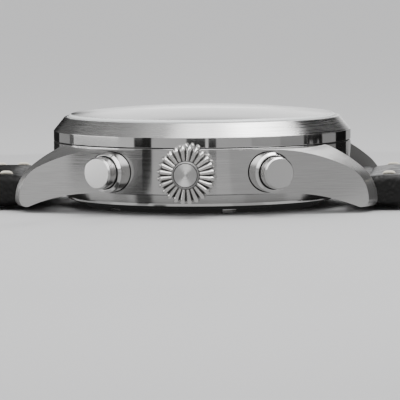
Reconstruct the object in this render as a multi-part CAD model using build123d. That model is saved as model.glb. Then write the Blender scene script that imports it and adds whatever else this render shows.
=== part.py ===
from build123d import *

import os
from math import asin, atan2, cos, degrees, radians, sin, sqrt

# Pilot's chronograph wristwatch, lying on its case back, in millimetres.
# +Z goes up through the dial, the crown points along -Y and twelve o'clock along +X.
# The origin is the centre of the flat face that the case back rests on.

# Clearances
press_gap = 0.02
running_gap = 0.05
leather_gap = 0.15
shake = 0.04
overrun = 1.0

# Case back: a screwed plate with a raised centre and six key notches
back_rim_inset = 2.0
back_step_inset = 1.0
back_boss_inset = 1.5
back_boss_draft = 0.3
back_boss_rise = 0.7
back_step_rise = 0.15
back_bevel_rise = 0.45
back_rim_height = 0.4
back_plate = 1.0
back_seat_width = 2.0
notch_count = 6
notch_turn = 18.0
notch_width = 1.9
notch_length = 1.1
notch_depth = 0.6

# Middle case
case_radius = 21.5
case_wall = 3.2
underside_inset = 1.5
underside_rise = 1.35
flank_height = 6.4
gasket_width = 0.7
gasket_height = 0.6

# Lugs: the flank of a lug is a plane tangent to the case, its top is canted
strap_width = 22.0
flank_turn = 18.0
lug_overhang = 4.25
lug_root_overlap = 4.6
crest_tip_height = 1.65
crest_toe_radius = 0.95
crest_tip_radius = 6.0
crest_tip_turn = 48.9
crest_shoulder_radius = 19.3
crest_shoulder_turn = 35.0
flank_tip_inset = 0.94
flank_tip_height = 1.95
flank_toe_radius = 1.1
flank_tip_radius = 5.1
flank_tip_turn = 63.7
flank_shoulder_radius = 26.0
flank_shoulder_turn = 26.3
lug_arch_radius = 28.0

# Bezel, crystal and its gasket
band_height = 1.55
bezel_top_inset = 1.6
bezel_chamfer_rise = 1.95
bezel_lip = 0.3
bezel_seat_depth = 1.75
crystal_gasket_wall = 0.36
crystal_stand = 0.4
crystal_dome_rise = 1.15
crystal_bevel = 0.25

# Dial, its three counters and the sloped ring round it
dial_gap = 0.2
dial_thickness = 0.4
counter_distance_share = 0.48
counter_radius_share = 0.26
counter_depth = 0.12
slope_ring_width = 1.0

# Movement: plate, bridges and the ring that holds it
movement_ring_wall = 3.3
movement_back = 3.05
bridge_inset = 0.5
bridge_thickness = 1.0
bridge_split = -1.8
bridge_joint = 0.1
plate_top = 9.2
train_pocket_depth = 2.15
motion_recess_depth = 0.9

# Barrel, balance, pallet fork and train wheels: their places in plan and the
# largest radii are shares of the movement's radius
barrel_place_shares = (0.44, -0.4)
barrel_radius_share = 0.34
barrel_height = 2.75
barrel_arbor_radius = 0.6
balance_place_shares = (-0.44, 0.4)
balance_radius_share = 0.285
balance_rim_width = 0.7
balance_rim_height = 0.5
balance_spoke_width = 0.6
balance_lift = 0.25
balance_roller_radius = 0.5
balance_roller_lift = 0.95
cock_width = 2.6
cock_reach_share = 0.415
cock_turn = 200.0
lever_line_turn = -35.0
pallet_distance_share = 0.21
escape_distance_share = 0.17
escape_radius_share = 0.12
escape_tooth = 0.3
escape_teeth = 15
escape_lift = 1.25
escape_thickness = 0.2
escape_ratio = 12
escape_room = 0.5
pallet_arm_width = 0.3
pallet_stone_angle = 38.0
pallet_stone_gap = 0.35
fourth_wheel_lift = 1.6
staff_radius = 0.2

# Rotor and its bearing
rotor_inset = 0.7
rotor_rim_width = 2.2
rotor_rim_height = 1.5
rotor_plate = 0.4
rotor_hub_radius = 2.6
rotor_hub_height = 1.0
rotor_lift = 0.3
bearing_radius = 1.4
bearing_head_radius = 2.0
bearing_head = 0.15

# Hands and their arbors
chrono_arbor_radius = 0.25
cannon_radius = 0.55
hour_tube_radius = 0.95
hour_wheel_radius_share = 0.21
hour_wheel_thickness = 0.25
hand_thickness = 0.12
hand_spacing = 0.32
first_hand_lift = 0.35
counter_hand_lift = 0.12
hour_hand_share = 0.55
minute_hand_gap = 2.9
chrono_hand_gap = 0.9
chrono_tail_share = 0.3
counter_hand_gap = 0.5
hand_boss = 0.6
counter_arbor_radius = 0.2
counter_boss_radius = 0.5

# Winding stem, its setting lever and the crown with its tube
stem_height = 6.1
stem_radius = 0.6
stem_groove_radius = 0.34
stem_groove_length = 0.8
stem_groove_share = 0.8
stem_end_share = 0.53
stem_bore_share = 0.49
crown_pull = 1.0
lever_length_share = 0.26
lever_width = 1.4
lever_thickness = 0.4
lever_pin_radius = 0.3
tube_radius = 1.5
tube_stand = 2.8
crown_gap = 0.3
crown_radius = 4.12
crown_valley_radius = 3.75
crown_depth = 3.9
crown_bore_depth = 3.2
petal_count = 24
petal_shape_shares = ((0, 0), (0.2, 0.7), (0.5, 1), (0.8, 0.7))
petal_groove_hub = 0.2
petal_groove_rim = 0.5
crown_boss_radius = 1.8
crown_boss_height = 0.4
crown_disc_radius = 1.45
crown_disc_depth = 0.08

# Pushers at two and four o'clock and their collars
pusher_turn = 30.0
pusher_travel = 1.0
pusher_cap_radius = 2.25
pusher_cap_stand = 1.75
pusher_cap_length = 2.5
pusher_cap_edge = 0.18
pusher_stem_radius = 0.8
pusher_stem_room = 0.2
collar_radius = 2.8
collar_stand = 1.85
collar_floor = 0.4
collar_neck_radius = 2.0
collar_edge = 0.25
collar_seat_depth = 0.5
collar_seat_gap = 0.1

# Spring bars between the lugs
bar_offset = 2.0
bar_height = 2.9
bar_radius = 0.75
bar_tip_radius = 0.6
bar_tip_length = 1.3
bar_shoulder = 0.2

# Leather strap, shared sizes
loop_radius = 1.95
strap_side_gap = 0.15
pad_place = 3.7
pad_base = 0.5
pad_side = 4.6
pad_crown = 0.5
strap_tail_width = 18.0
strap_tail_thickness = 2.4
strap_tail_crown = 0.15
taper_place = 36.0

# Buckle half of the strap, its keepers and its buckle
buckle_half_length = 72.0
buckle_loop_radius = 1.5
buckle_bar_radius = 0.75
keeper_wall = 1.1
keeper_side_wall = 1.2
keeper_length = 5.0
keeper_room = 5.4
fixed_keeper_place = 8.5
free_keeper_place = 17.0
buckle_side = 1.9
buckle_reach = 10.6
buckle_heel = 1.4
buckle_thickness = 2.4
buckle_bar_width = 2.2
buckle_edge = 0.4
buckle_corner = 1.6
tongue_width = 2.1
tongue_eye_radius = 1.4
tongue_slot_gap = 0.3
tongue_slot_length = 3.0
tongue_thickness = 1.0
tongue_overhang = 0.3

# Hole half of the strap
hole_half_length = 118.0
hole_count = 7
hole_pitch = 6.5
hole_radius = 0.9
last_hole_place = 24.0
tip_radius = 14.0

# Heights of the case, counted up from the resting face
step_top = back_boss_rise + back_step_rise
bevel_top = step_top + back_bevel_rise
rim_top = bevel_top + back_rim_height
flank_base = rim_top + underside_rise
flank_top = flank_base + flank_height
band_top = flank_top + band_height
bezel_top = band_top + bezel_chamfer_rise
crystal_base = bezel_top - bezel_seat_depth
crystal_edge = bezel_top + crystal_stand
crystal_top = crystal_edge + crystal_dome_rise
dial_top = plate_top + dial_thickness
bridge_top = movement_back + bridge_thickness

# Radii and places that follow from the sizes above
case_bore_radius = case_radius - case_wall
underside_radius = case_radius - underside_inset
back_rim_radius = case_radius - back_rim_inset
back_step_radius = back_rim_radius - back_step_inset
back_boss_radius = back_step_radius - back_boss_inset
groove_radius = case_bore_radius + gasket_width
bezel_top_radius = case_radius - bezel_top_inset
dial_radius = case_bore_radius - dial_gap
slope_ring_foot_radius = case_bore_radius - slope_ring_width
minute_hand_length = slope_ring_foot_radius - minute_hand_gap
chrono_hand_length = slope_ring_foot_radius - chrono_hand_gap
hour_hand_length = slope_ring_foot_radius * hour_hand_share
chrono_hand_tail = slope_ring_foot_radius * chrono_tail_share
movement_radius = case_bore_radius - movement_ring_wall
bridge_radius = movement_radius - bridge_inset
rotor_radius = movement_radius - rotor_inset
counter_distance = movement_radius * counter_distance_share
counter_radius = movement_radius * counter_radius_share
counter_hand_length = counter_radius - counter_hand_gap
hour_wheel_radius = movement_radius * hour_wheel_radius_share
motion_recess_radius = hour_wheel_radius + 4 * running_gap
barrel_radius = movement_radius * barrel_radius_share
balance_radius = movement_radius * balance_radius_share
escape_radius = movement_radius * escape_radius_share
stem_groove_place = movement_radius * stem_groove_share
stem_inner_end = movement_radius * stem_end_share
stem_bore_end = movement_radius * stem_bore_share
lever_length = movement_radius * lever_length_share
bar_distance = case_radius + bar_offset
crystal_seat_radius = bezel_top_radius - bezel_lip
crystal_radius = crystal_seat_radius - crystal_gasket_wall
half_gap = strap_width / 2
half_strap = half_gap - strap_side_gap
half_tail = strap_tail_width / 2
flank_start = Vector(case_radius * sin(radians(flank_turn)), -case_radius * cos(radians(flank_turn)))
crest_reach = case_radius + lug_overhang
crest_root = sqrt(case_bore_radius**2 - half_gap**2) - lug_root_overlap
flank_reach = (crest_reach - flank_tip_inset - flank_start.X) / cos(radians(flank_turn))
pusher_flank = case_radius / cos(radians(pusher_turn - flank_turn))
lever_line = Vector(cos(radians(lever_line_turn)), sin(radians(lever_line_turn)))
barrel_centre = Vector(*barrel_place_shares) * movement_radius
balance_centre = Vector(*balance_place_shares) * movement_radius
pallet_distance = movement_radius * pallet_distance_share
pallet_centre = balance_centre + lever_line * pallet_distance
escape_centre = pallet_centre + lever_line * movement_radius * escape_distance_share
fourth_centre = Vector(0, counter_distance)
minute_counter_centre = Vector(counter_distance, 0)
hour_counter_centre = Vector(-counter_distance, 0)
mesh_distance = (escape_centre - fourth_centre).length
escape_pinion_radius = mesh_distance / (escape_ratio + 1) - running_gap
fourth_wheel_radius = mesh_distance * escape_ratio / (escape_ratio + 1) - running_gap


def turned(*outline):
    """A solid turned about Z from its outline of radii and heights."""
    return revolve(Plane.XZ * make_face(Polyline(*outline, close=True)), Axis.Z)


def rod(radius, low, high, centre=(0, 0)):
    """A round upright rod between two heights."""
    middle = Pos(centre[0], centre[1], (low + high) / 2)
    return middle * Cylinder(radius, high - low)


def block(low, high):
    """A box between its lowest and its highest corner."""
    size = [b - a for a, b in zip(low, high)]
    middle = [(a + b) / 2 for a, b in zip(low, high)]
    return Pos(*middle) * Box(*size)


def cross_rod(radius, half_length, x, z):
    """A round rod across the strap, along Y."""
    return Pos(x, 0, z) * Rot(X=90) * Cylinder(radius, 2 * half_length)


def outward(turn, height):
    """The plane at the watch's centre that looks out through the flank, turned from the crown."""
    across = (cos(radians(turn)), sin(radians(turn)), 0)
    out = (sin(radians(turn)), -cos(radians(turn)), 0)
    return Plane((0, 0, height), x_dir=across, z_dir=out)


def plan_bar(start, end, width, low, high):
    """A flat bar with round ends between two points in plan."""
    run = end - start
    flat = SlotCenterToCenter(run.length, width)
    middle = (start + end) / 2
    place = Pos(middle.X, middle.Y, low) * Rot(Z=degrees(atan2(run.Y, run.X)))
    return extrude(place * flat, high - low)


# Case


def lug_section(root, reach, tip_height, toe_radius, tip_radius, tip_turn, shoulder_radius, shoulder_turn):
    """Side outline of a lug: arched underside, rounded toe and tip, long shoulder back to the root."""
    toe_x = reach - toe_radius
    rise = tip_height - flank_base + lug_arch_radius
    arch_span = sqrt((lug_arch_radius + toe_radius) ** 2 - rise**2)
    arch_turn = degrees(asin(arch_span / (lug_arch_radius + toe_radius)))
    arch_start = (toe_x - arch_span, flank_base)
    tip = JernArc((reach, tip_height), (0, 1), tip_radius, tip_turn)
    shoulder = JernArc(tip @ 1, tip % 1, shoulder_radius, shoulder_turn)
    top_line = Line(shoulder @ 1, (root, (shoulder @ 1).Y))
    root_line = Line(top_line @ 1, (root, flank_base))
    base_line = Line(root_line @ 1, arch_start)
    arch = JernArc(arch_start, (1, 0), lug_arch_radius, -arch_turn)
    toe = JernArc(arch @ 1, arch % 1, toe_radius, arch_turn + 90)
    return make_face([tip, shoulder, top_line, root_line, base_line, arch, toe])


def lug():
    """One lug, ruled from its inner crest by the strap to its outer flank, which is canted down."""
    crest = lug_section(
        crest_root,
        crest_reach,
        crest_tip_height,
        crest_toe_radius,
        crest_tip_radius,
        crest_tip_turn,
        crest_shoulder_radius,
        crest_shoulder_turn,
    )
    flank = lug_section(
        0,
        flank_reach,
        flank_tip_height,
        flank_toe_radius,
        flank_tip_radius,
        flank_tip_turn,
        flank_shoulder_radius,
        flank_shoulder_turn,
    )
    crest_plane = Plane((0, -half_gap, 0), x_dir=(1, 0, 0), z_dir=(0, -1, 0))
    along = (cos(radians(flank_turn)), sin(radians(flank_turn)), 0)
    out = (sin(radians(flank_turn)), -cos(radians(flank_turn)), 0)
    flank_plane = Plane((flank_start.X, flank_start.Y, 0), x_dir=along, z_dir=out)
    return loft([crest_plane * crest, flank_plane * flank], ruled=True)


def four_lugs():
    """The lug mirrored to both sides and both ends of the case."""
    near = lug() + mirror(lug(), about=Plane.YZ)
    return near + mirror(near, about=Plane.XZ)


def pusher_passage(turn):
    """The hole and the flat seat in the flank for a pusher's collar."""
    hole = rod(collar_neck_radius + press_gap, 0, pusher_flank + overrun)
    seat_floor = pusher_flank - collar_seat_depth
    seat = rod(collar_radius + collar_seat_gap, seat_floor, pusher_flank + overrun)
    return outward(turn, stem_height) * (hole + seat)


def mid_case():
    """The middle case: flank, conical underside, bore and four lugs."""
    body = turned((0, rim_top), (underside_radius, rim_top), (case_radius, flank_base),
                  (case_radius, flank_top), (0, flank_top))
    body += four_lugs()
    body -= rod(crest_reach + case_radius, flank_top, flank_top + flank_height)
    body -= rod(case_bore_radius, 0, bezel_top)
    body -= rod(groove_radius, rim_top - overrun, rim_top + gasket_height)
    for side in (-1, 1):
        body -= cross_rod(bar_tip_radius + running_gap, half_gap + bar_tip_length + bar_shoulder,
                          side * bar_distance, bar_height)
        body -= cross_rod(loop_radius + 2 * leather_gap, half_gap, side * bar_distance, bar_height)
        body -= pusher_passage(side * pusher_turn)
    body -= outward(0, stem_height) * rod(tube_radius + press_gap, 0, case_radius + overrun)
    return body


def bezel():
    """The bezel: polished band, brushed chamfer and a stepped seat for the crystal."""
    return turned((case_bore_radius, flank_top), (case_radius, flank_top), (case_radius, band_top),
                  (bezel_top_radius, bezel_top), (crystal_seat_radius, bezel_top),
                  (crystal_seat_radius, crystal_base), (case_bore_radius, crystal_base))


def crystal():
    """The domed crystal with its bevelled edge."""
    bevel_radius = crystal_radius - crystal_bevel
    edge = Polyline((0, crystal_top), (0, crystal_base), (crystal_radius, crystal_base),
                    (crystal_radius, crystal_edge - crystal_bevel), (bevel_radius, crystal_edge))
    dome_radius = (bevel_radius**2 + crystal_dome_rise**2) / (2 * crystal_dome_rise)
    dome = RadiusArc((bevel_radius, crystal_edge), (0, crystal_top), -dome_radius)
    return revolve(Plane.XZ * make_face([*edge.edges(), dome]), Axis.Z)


def crystal_gasket():
    """The wedge ring that holds the crystal in the bezel."""
    inner = crystal_radius + press_gap
    outer = crystal_seat_radius - press_gap
    return turned((inner, crystal_base), (outer, crystal_base), (outer, bezel_top), (inner, bezel_top))


def case_back():
    """The case back: raised centre, step, bevelled rim, hollow inside and six key notches."""
    hollow_radius = case_bore_radius - back_seat_width
    body = turned((0, 0), (back_boss_radius - back_boss_draft, 0), (back_boss_radius, back_boss_rise),
                  (back_step_radius, step_top), (back_rim_radius, bevel_top), (back_rim_radius, rim_top),
                  (hollow_radius, rim_top), (hollow_radius, back_plate), (0, back_plate))
    notch = block((-notch_width / 2, -back_boss_radius - overrun, -overrun),
                  (notch_width / 2, notch_length - back_boss_radius, notch_depth))
    for step in range(notch_count):
        body -= Rot(Z=notch_turn + step * 360 / notch_count) * notch
    return body


def case_back_gasket():
    """The ring that seals the case back in its groove."""
    inner = case_bore_radius + press_gap
    outer = groove_radius - press_gap
    return turned((inner, rim_top), (outer, rim_top), (outer, rim_top + gasket_height),
                  (inner, rim_top + gasket_height))


# Crown, pushers and their tubes


def crown_tube():
    """The tube pressed through the flank that the crown slides and turns on."""
    bore = stem_radius + running_gap
    tube = rod(tube_radius, case_bore_radius, case_radius + tube_stand)
    return outward(0, stem_height) * (tube - rod(bore, 0, case_radius + tube_stand + overrun))


def petal_outline():
    """The crown's outline: each petal bulges from valley to tip over its shoulders."""
    points = []
    for step in range(petal_count):
        for place_share, rise_share in petal_shape_shares:
            turn = radians((step + place_share) * 360 / petal_count)
            radius = crown_valley_radius + (crown_radius - crown_valley_radius) * rise_share
            points.append((radius * cos(turn), radius * sin(turn)))
    return make_face(Polyline(*points, close=True))


def petal_groove(front):
    """The groove between two petals, cut by a square bar on its edge that dips towards the rim."""
    run = crown_radius - crown_boss_radius
    dip = petal_groove_rim - petal_groove_hub
    side = 4 * petal_groove_rim
    bar = Rot(X=45) * Box(4 * run, side, side)
    lowest = sqrt(2) * side / 2
    middle = (crown_radius + crown_boss_radius) / 2
    depth = (petal_groove_rim + petal_groove_hub) / 2
    return Pos(middle, 0, front - depth + lowest) * Rot(Y=degrees(atan2(dip, run))) * bar


def crown():
    """The winding crown, with its petals round a raised boss."""
    back = case_radius + crown_gap
    front = back + crown_depth
    boss_top = front + crown_boss_height
    body = extrude(Pos(0, 0, back) * petal_outline(), crown_depth)
    body -= [Rot(Z=step * 360 / petal_count) * petal_groove(front) for step in range(petal_count)]
    body += rod(crown_boss_radius, front - crown_boss_height, boss_top)
    body -= rod(crown_disc_radius, boss_top - crown_disc_depth, boss_top + overrun)
    body -= rod(tube_radius + running_gap, back - overrun, back + crown_bore_depth)
    return outward(0, stem_height) * body


def winding_stem():
    """The stem from the crown into the movement, with the groove that the setting lever holds."""
    groove = stem_groove_place - stem_groove_length / 2
    outline = [(0, stem_inner_end), (stem_radius, stem_inner_end), (stem_radius, groove), (stem_groove_radius, groove),
               (stem_groove_radius, groove + stem_groove_length), (stem_radius, groove + stem_groove_length),
               (stem_radius, case_radius + crown_gap + crown_bore_depth),
               (0, case_radius + crown_gap + crown_bore_depth)]
    return outward(0, stem_height) * turned(*outline)


def setting_lever():
    """The lever whose pin sits in the stem's groove and slides out with it."""
    top = stem_height - stem_radius - running_gap
    place = -stem_groove_place
    half_width = lever_width / 2
    body = block((-lever_length, place - half_width, top - lever_thickness),
                 (lever_pin_radius, place + half_width, top))
    return body + rod(lever_pin_radius, top, stem_height - stem_groove_radius - running_gap, (0, place))


def pusher_collar(turn):
    """The fixed collar of a pusher: a neck in the flank and a cup that the cap sinks into."""
    seat = pusher_flank - collar_seat_depth
    front = pusher_flank + collar_stand
    cup = pusher_cap_radius + running_gap
    body = turned((0, case_bore_radius), (collar_neck_radius, case_bore_radius), (collar_neck_radius, seat),
                  (collar_radius, seat), (collar_radius, front - collar_edge),
                  (collar_radius - collar_edge, front), (0, front))
    body -= rod(cup, seat + collar_floor, front + overrun)
    body -= rod(pusher_stem_radius + running_gap, 0, front)
    return outward(turn, stem_height) * body


def pusher(turn):
    """The moving pusher: cap, and stem through the collar into the case."""
    face = pusher_flank + collar_stand + pusher_cap_stand
    cap_back = face - pusher_cap_length
    stem_end = movement_radius + pusher_travel + pusher_stem_room
    body = turned((0, stem_end), (pusher_stem_radius, stem_end),
                  (pusher_stem_radius, cap_back), (pusher_cap_radius, cap_back),
                  (pusher_cap_radius, face - pusher_cap_edge), (pusher_cap_radius - pusher_cap_edge, face),
                  (0, face))
    return outward(turn, stem_height) * body


# Dial side


def slope_ring():
    """The sloped ring between the dial and the crystal."""
    outer = case_bore_radius - press_gap
    return turned((slope_ring_foot_radius, dial_top), (outer, dial_top), (outer, crystal_base))


def dial():
    """The dial with its three sunk counters and the holes for the hands' arbors."""
    body = rod(dial_radius, plate_top, dial_top)
    body -= rod(hour_tube_radius + 2 * running_gap, plate_top - overrun, dial_top + overrun)
    for centre in (minute_counter_centre, hour_counter_centre, fourth_centre):
        place = (centre.X, centre.Y)
        body -= rod(counter_radius, dial_top - counter_depth, dial_top + overrun, place)
        body -= rod(counter_arbor_radius + running_gap, plate_top - overrun, dial_top, place)
    return body


def hand(length, tail, width, boss_radius, bore_radius, base):
    """A flat pointed hand along +X with a round boss and a bore."""
    blade = make_face(Polyline((-tail, -width / 2), (length - 2 * width, -width / 2), (length, 0),
                               (length - 2 * width, width / 2), (-tail, width / 2), close=True))
    body = Pos(0, 0, base) * extrude(blade, hand_thickness)
    body += rod(boss_radius, base, base + hand_thickness)
    if bore_radius > 0:
        body -= rod(bore_radius, base - overrun, base + overrun)
    return body


hour_hand_base = dial_top + first_hand_lift
minute_hand_base = hour_hand_base + hand_spacing
chrono_hand_base = minute_hand_base + hand_spacing
counter_hand_base = dial_top + counter_hand_lift
recess_floor = plate_top - motion_recess_depth


def hour_hand():
    """The hour hand, pressed on the hour wheel's tube."""
    bore = hour_tube_radius + press_gap
    return hand(hour_hand_length, 0, 1.6 * bore, bore + hand_boss, bore, hour_hand_base)


def hour_wheel():
    """The hour wheel with the tube that carries the hour hand."""
    base = recess_floor + hour_wheel_thickness
    top = hour_hand_base + hand_thickness
    body = rod(hour_wheel_radius, base, base + hour_wheel_thickness)
    body += rod(hour_tube_radius, base, top)
    return body - rod(cannon_radius + running_gap, base - overrun, top + overrun)


def minute_hand():
    """The minute hand, pressed on the cannon pinion."""
    bore = cannon_radius + press_gap
    return hand(minute_hand_length, 0, 2.4 * bore, bore + hand_boss, bore, minute_hand_base)


def cannon_pinion():
    """The tube inside the hour wheel that carries the minute hand."""
    top = minute_hand_base + hand_thickness
    body = rod(cannon_radius, recess_floor + shake, top)
    return body - rod(chrono_arbor_radius + running_gap, recess_floor - overrun, top + overrun)


def chrono_seconds_hand():
    """The long chronograph hand with its tail and its arbor down the middle of the movement."""
    width = 2 * chrono_arbor_radius
    body = hand(chrono_hand_length, chrono_hand_tail, width, chrono_arbor_radius + hand_boss, 0,
                chrono_hand_base)
    return body + rod(chrono_arbor_radius, recess_floor - motion_recess_depth + shake, chrono_hand_base)


def counter_hand(centre, turn):
    """A counter's hand on its short arbor."""
    width = 2 * counter_arbor_radius
    body = hand(counter_hand_length, counter_boss_radius, width, counter_boss_radius, 0, counter_hand_base)
    body += rod(counter_arbor_radius, recess_floor + shake, counter_hand_base)
    return Pos(centre.X, centre.Y, 0) * Rot(Z=turn) * body


def running_seconds_hand():
    """The hand of the running seconds, on the fourth wheel's arbor."""
    width = 2 * counter_arbor_radius
    bore = counter_arbor_radius + press_gap
    body = hand(counter_hand_length, counter_boss_radius, width, counter_boss_radius, bore, counter_hand_base)
    return Pos(fourth_centre.X, fourth_centre.Y, 0) * Rot(Z=180) * body


# Movement


def movement_ring():
    """The ring that holds the movement in the case."""
    body = rod(case_bore_radius - press_gap, rim_top, plate_top)
    body -= rod(movement_radius + press_gap, 0, plate_top + overrun)
    body -= outward(0, stem_height) * rod(stem_radius + 2 * running_gap, movement_radius, case_radius)
    for side in (-1, 1):
        passage = rod(pusher_stem_radius + 2 * running_gap, movement_radius, case_radius)
        body -= outward(side * pusher_turn, stem_height) * passage
    return body


def mainplate():
    """The movement's plate, with pockets for the barrel, train, balance, stem and motion work."""
    pocket_top = bridge_top + train_pocket_depth
    body = rod(movement_radius, bridge_top, plate_top)
    low = bridge_top - overrun
    body -= rod(barrel_radius + 3 * running_gap, low, bridge_top + barrel_height + 3 * shake,
                (barrel_centre.X, barrel_centre.Y))
    pockets = rod(fourth_wheel_radius + 4 * running_gap, low, pocket_top, (fourth_centre.X, fourth_centre.Y))
    pockets += rod(escape_radius + escape_room, low, pocket_top, (escape_centre.X, escape_centre.Y))
    pockets += rod(balance_radius + balance_rim_width, low, pocket_top, (balance_centre.X, balance_centre.Y))
    body -= pockets
    body -= rod(motion_recess_radius, recess_floor, plate_top + overrun)
    body -= rod(chrono_arbor_radius + running_gap, recess_floor - motion_recess_depth, plate_top)
    for centre in (minute_counter_centre, hour_counter_centre):
        body -= rod(counter_arbor_radius + running_gap, recess_floor, plate_top + overrun, (centre.X, centre.Y))
    body -= rod(counter_arbor_radius + running_gap, low, plate_top + overrun, (fourth_centre.X, fourth_centre.Y))
    body -= outward(0, stem_height) * rod(stem_radius + running_gap, stem_bore_end, movement_radius + overrun)
    lever_room = lever_width / 2 + running_gap
    body -= block((-lever_length - running_gap, -stem_groove_place - lever_room - crown_pull, low),
                  (stem_radius, lever_room - stem_groove_place, stem_height))
    return body


def bridge_disc():
    """The disc that the bridges are cut from."""
    return rod(bridge_radius, movement_back, bridge_top)


def cock_outline(width, low, high):
    """The balance cock: a bar from its foot on the plate to the balance staff."""
    along = Vector(cos(radians(cock_turn)), sin(radians(cock_turn)))
    reach = along * movement_radius * cock_reach_share
    return plan_bar(balance_centre, balance_centre + reach, width, low, high)


def barrel_bridge():
    """The bridge over the barrel and the winding stem."""
    room = block((-movement_radius, bridge_split, 0), (movement_radius, movement_radius, plate_top))
    return bridge_disc() - room


def train_bridge():
    """The bridge over the train, open over the balance."""
    body = bridge_disc()
    body -= block((-movement_radius, -movement_radius, 0),
                  (movement_radius, bridge_split + bridge_joint, plate_top))
    body -= rod(balance_radius + balance_rim_width, 0, plate_top, (balance_centre.X, balance_centre.Y))
    outer = balance_centre * 2
    body -= plan_bar(balance_centre, outer, 2 * balance_radius, 0, plate_top)
    body -= cock_outline(cock_width + 2 * bridge_joint, 0, plate_top)
    return body.solids().sort_by(SortBy.VOLUME)[-1]


def balance_cock():
    """The cock that carries the balance."""
    return cock_outline(cock_width, movement_back, bridge_top)


def staff(centre):
    """A wheel's staff, from the bridge to the floor of the train's pocket."""
    return rod(staff_radius, bridge_top + shake, bridge_top + train_pocket_depth - shake, (centre.X, centre.Y))


def balance_wheel():
    """The balance: rim, two spokes, roller and staff."""
    low = bridge_top + balance_lift
    high = low + balance_rim_height
    place = (balance_centre.X, balance_centre.Y)
    rim = rod(balance_radius, low, high, place) - rod(balance_radius - balance_rim_width, low, high, place)
    reach = balance_radius - balance_rim_width / 2
    half = balance_spoke_width / 2
    spoke = block((balance_centre.X - reach, balance_centre.Y - half, low),
                  (balance_centre.X + reach, balance_centre.Y + half, high))
    roller_low = bridge_top + balance_roller_lift
    roller = rod(balance_roller_radius, roller_low, roller_low + escape_thickness, place)
    return rim + spoke + roller + staff(balance_centre)


def pallet_fork():
    """The pallet fork: an arm to the balance roller and two arms round the escape wheel."""
    low = bridge_top + escape_lift
    high = low + escape_thickness
    towards = lever_line * -1
    fork_length = pallet_distance - balance_roller_radius - pallet_arm_width
    body = plan_bar(pallet_centre, pallet_centre + towards * fork_length, pallet_arm_width, low, high)
    for side in (-1, 1):
        place = towards.rotate(Axis.Z, side * pallet_stone_angle) * (escape_radius + pallet_stone_gap)
        body += plan_bar(pallet_centre, escape_centre + place, pallet_arm_width, low, high)
    pivot = rod(staff_radius, low - escape_thickness, bridge_top + train_pocket_depth - shake,
                (pallet_centre.X, pallet_centre.Y))
    return body + pivot


def escape_wheel():
    """The escape wheel with its pointed teeth, its pinion and its staff."""
    low = bridge_top + escape_lift
    points = []
    for step in range(escape_teeth):
        for radius, share in ((escape_radius, 0), (escape_radius - escape_tooth, 0.25)):
            turn = radians((step + share) * 360 / escape_teeth)
            points.append((radius * cos(turn), radius * sin(turn)))
    wheel = extrude(make_face(Polyline(*points, close=True)), escape_thickness)
    body = Pos(escape_centre.X, escape_centre.Y, low) * wheel
    pinion_low = bridge_top + fourth_wheel_lift - escape_thickness / 2
    pinion_high = pinion_low + 2 * escape_thickness
    body += rod(escape_pinion_radius, pinion_low, pinion_high, (escape_centre.X, escape_centre.Y))
    return body + staff(escape_centre)


def fourth_wheel():
    """The fourth wheel, whose arbor runs up through the dial to the running seconds."""
    low = bridge_top + fourth_wheel_lift
    place = (fourth_centre.X, fourth_centre.Y)
    wheel = rod(fourth_wheel_radius, low, low + escape_thickness, place)
    return wheel + rod(counter_arbor_radius, bridge_top + shake, counter_hand_base + hand_thickness, place)


def barrel():
    """The mainspring barrel, a closed drum on its arbor."""
    place = (barrel_centre.X, barrel_centre.Y)
    drum = rod(barrel_radius, bridge_top + 2 * shake, bridge_top + barrel_height, place)
    return drum + rod(barrel_arbor_radius, bridge_top + shake, bridge_top + barrel_height + 2 * shake, place)


def rotor_bearing():
    """The post and head under the train bridge that the rotor turns on."""
    head_low = back_plate + rotor_lift - bearing_head - shake
    return turned((0, head_low), (bearing_head_radius, head_low), (bearing_head_radius, head_low + bearing_head),
                  (bearing_radius, head_low + bearing_head), (bearing_radius, movement_back),
                  (0, movement_back))


def rotor():
    """The winding rotor: a half disc with a heavy rim, on its hub."""
    low = back_plate + rotor_lift
    weight = rod(rotor_radius, low, low + rotor_rim_height)
    inner = rotor_radius - rotor_rim_width
    hollow_low = low + rotor_hub_height - rotor_plate
    weight -= rod(inner, 0, hollow_low)
    weight -= rod(inner, hollow_low + rotor_plate, plate_top)
    weight -= block((-movement_radius, 0, 0), (movement_radius, movement_radius, plate_top))
    body = weight + rod(rotor_hub_radius, low, low + rotor_hub_height)
    return body - rod(bearing_radius + running_gap, 0, plate_top)


# Strap


def spring_bar(side):
    """A spring bar between two lugs, with a thin tip in each lug's hole."""
    bar = cross_rod(bar_radius, half_gap - bar_shoulder, side * bar_distance, bar_height)
    return bar + cross_rod(bar_tip_radius, half_gap + bar_tip_length, side * bar_distance, bar_height)


def strap_section(x, half_width, base, side, crown):
    """Cross-section of the strap at a distance along it: flat below, square sides, crowned top."""
    top = base + side
    base_line = Polyline((half_width, top), (half_width, base), (-half_width, base), (-half_width, top))
    back = ThreePointArc((-half_width, top), (0, top + crown), (half_width, top))
    plane = Plane((x, 0, 0), x_dir=(0, 1, 0), z_dir=(1, 0, 0))
    return plane * make_face([*base_line.edges(), back])


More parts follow.
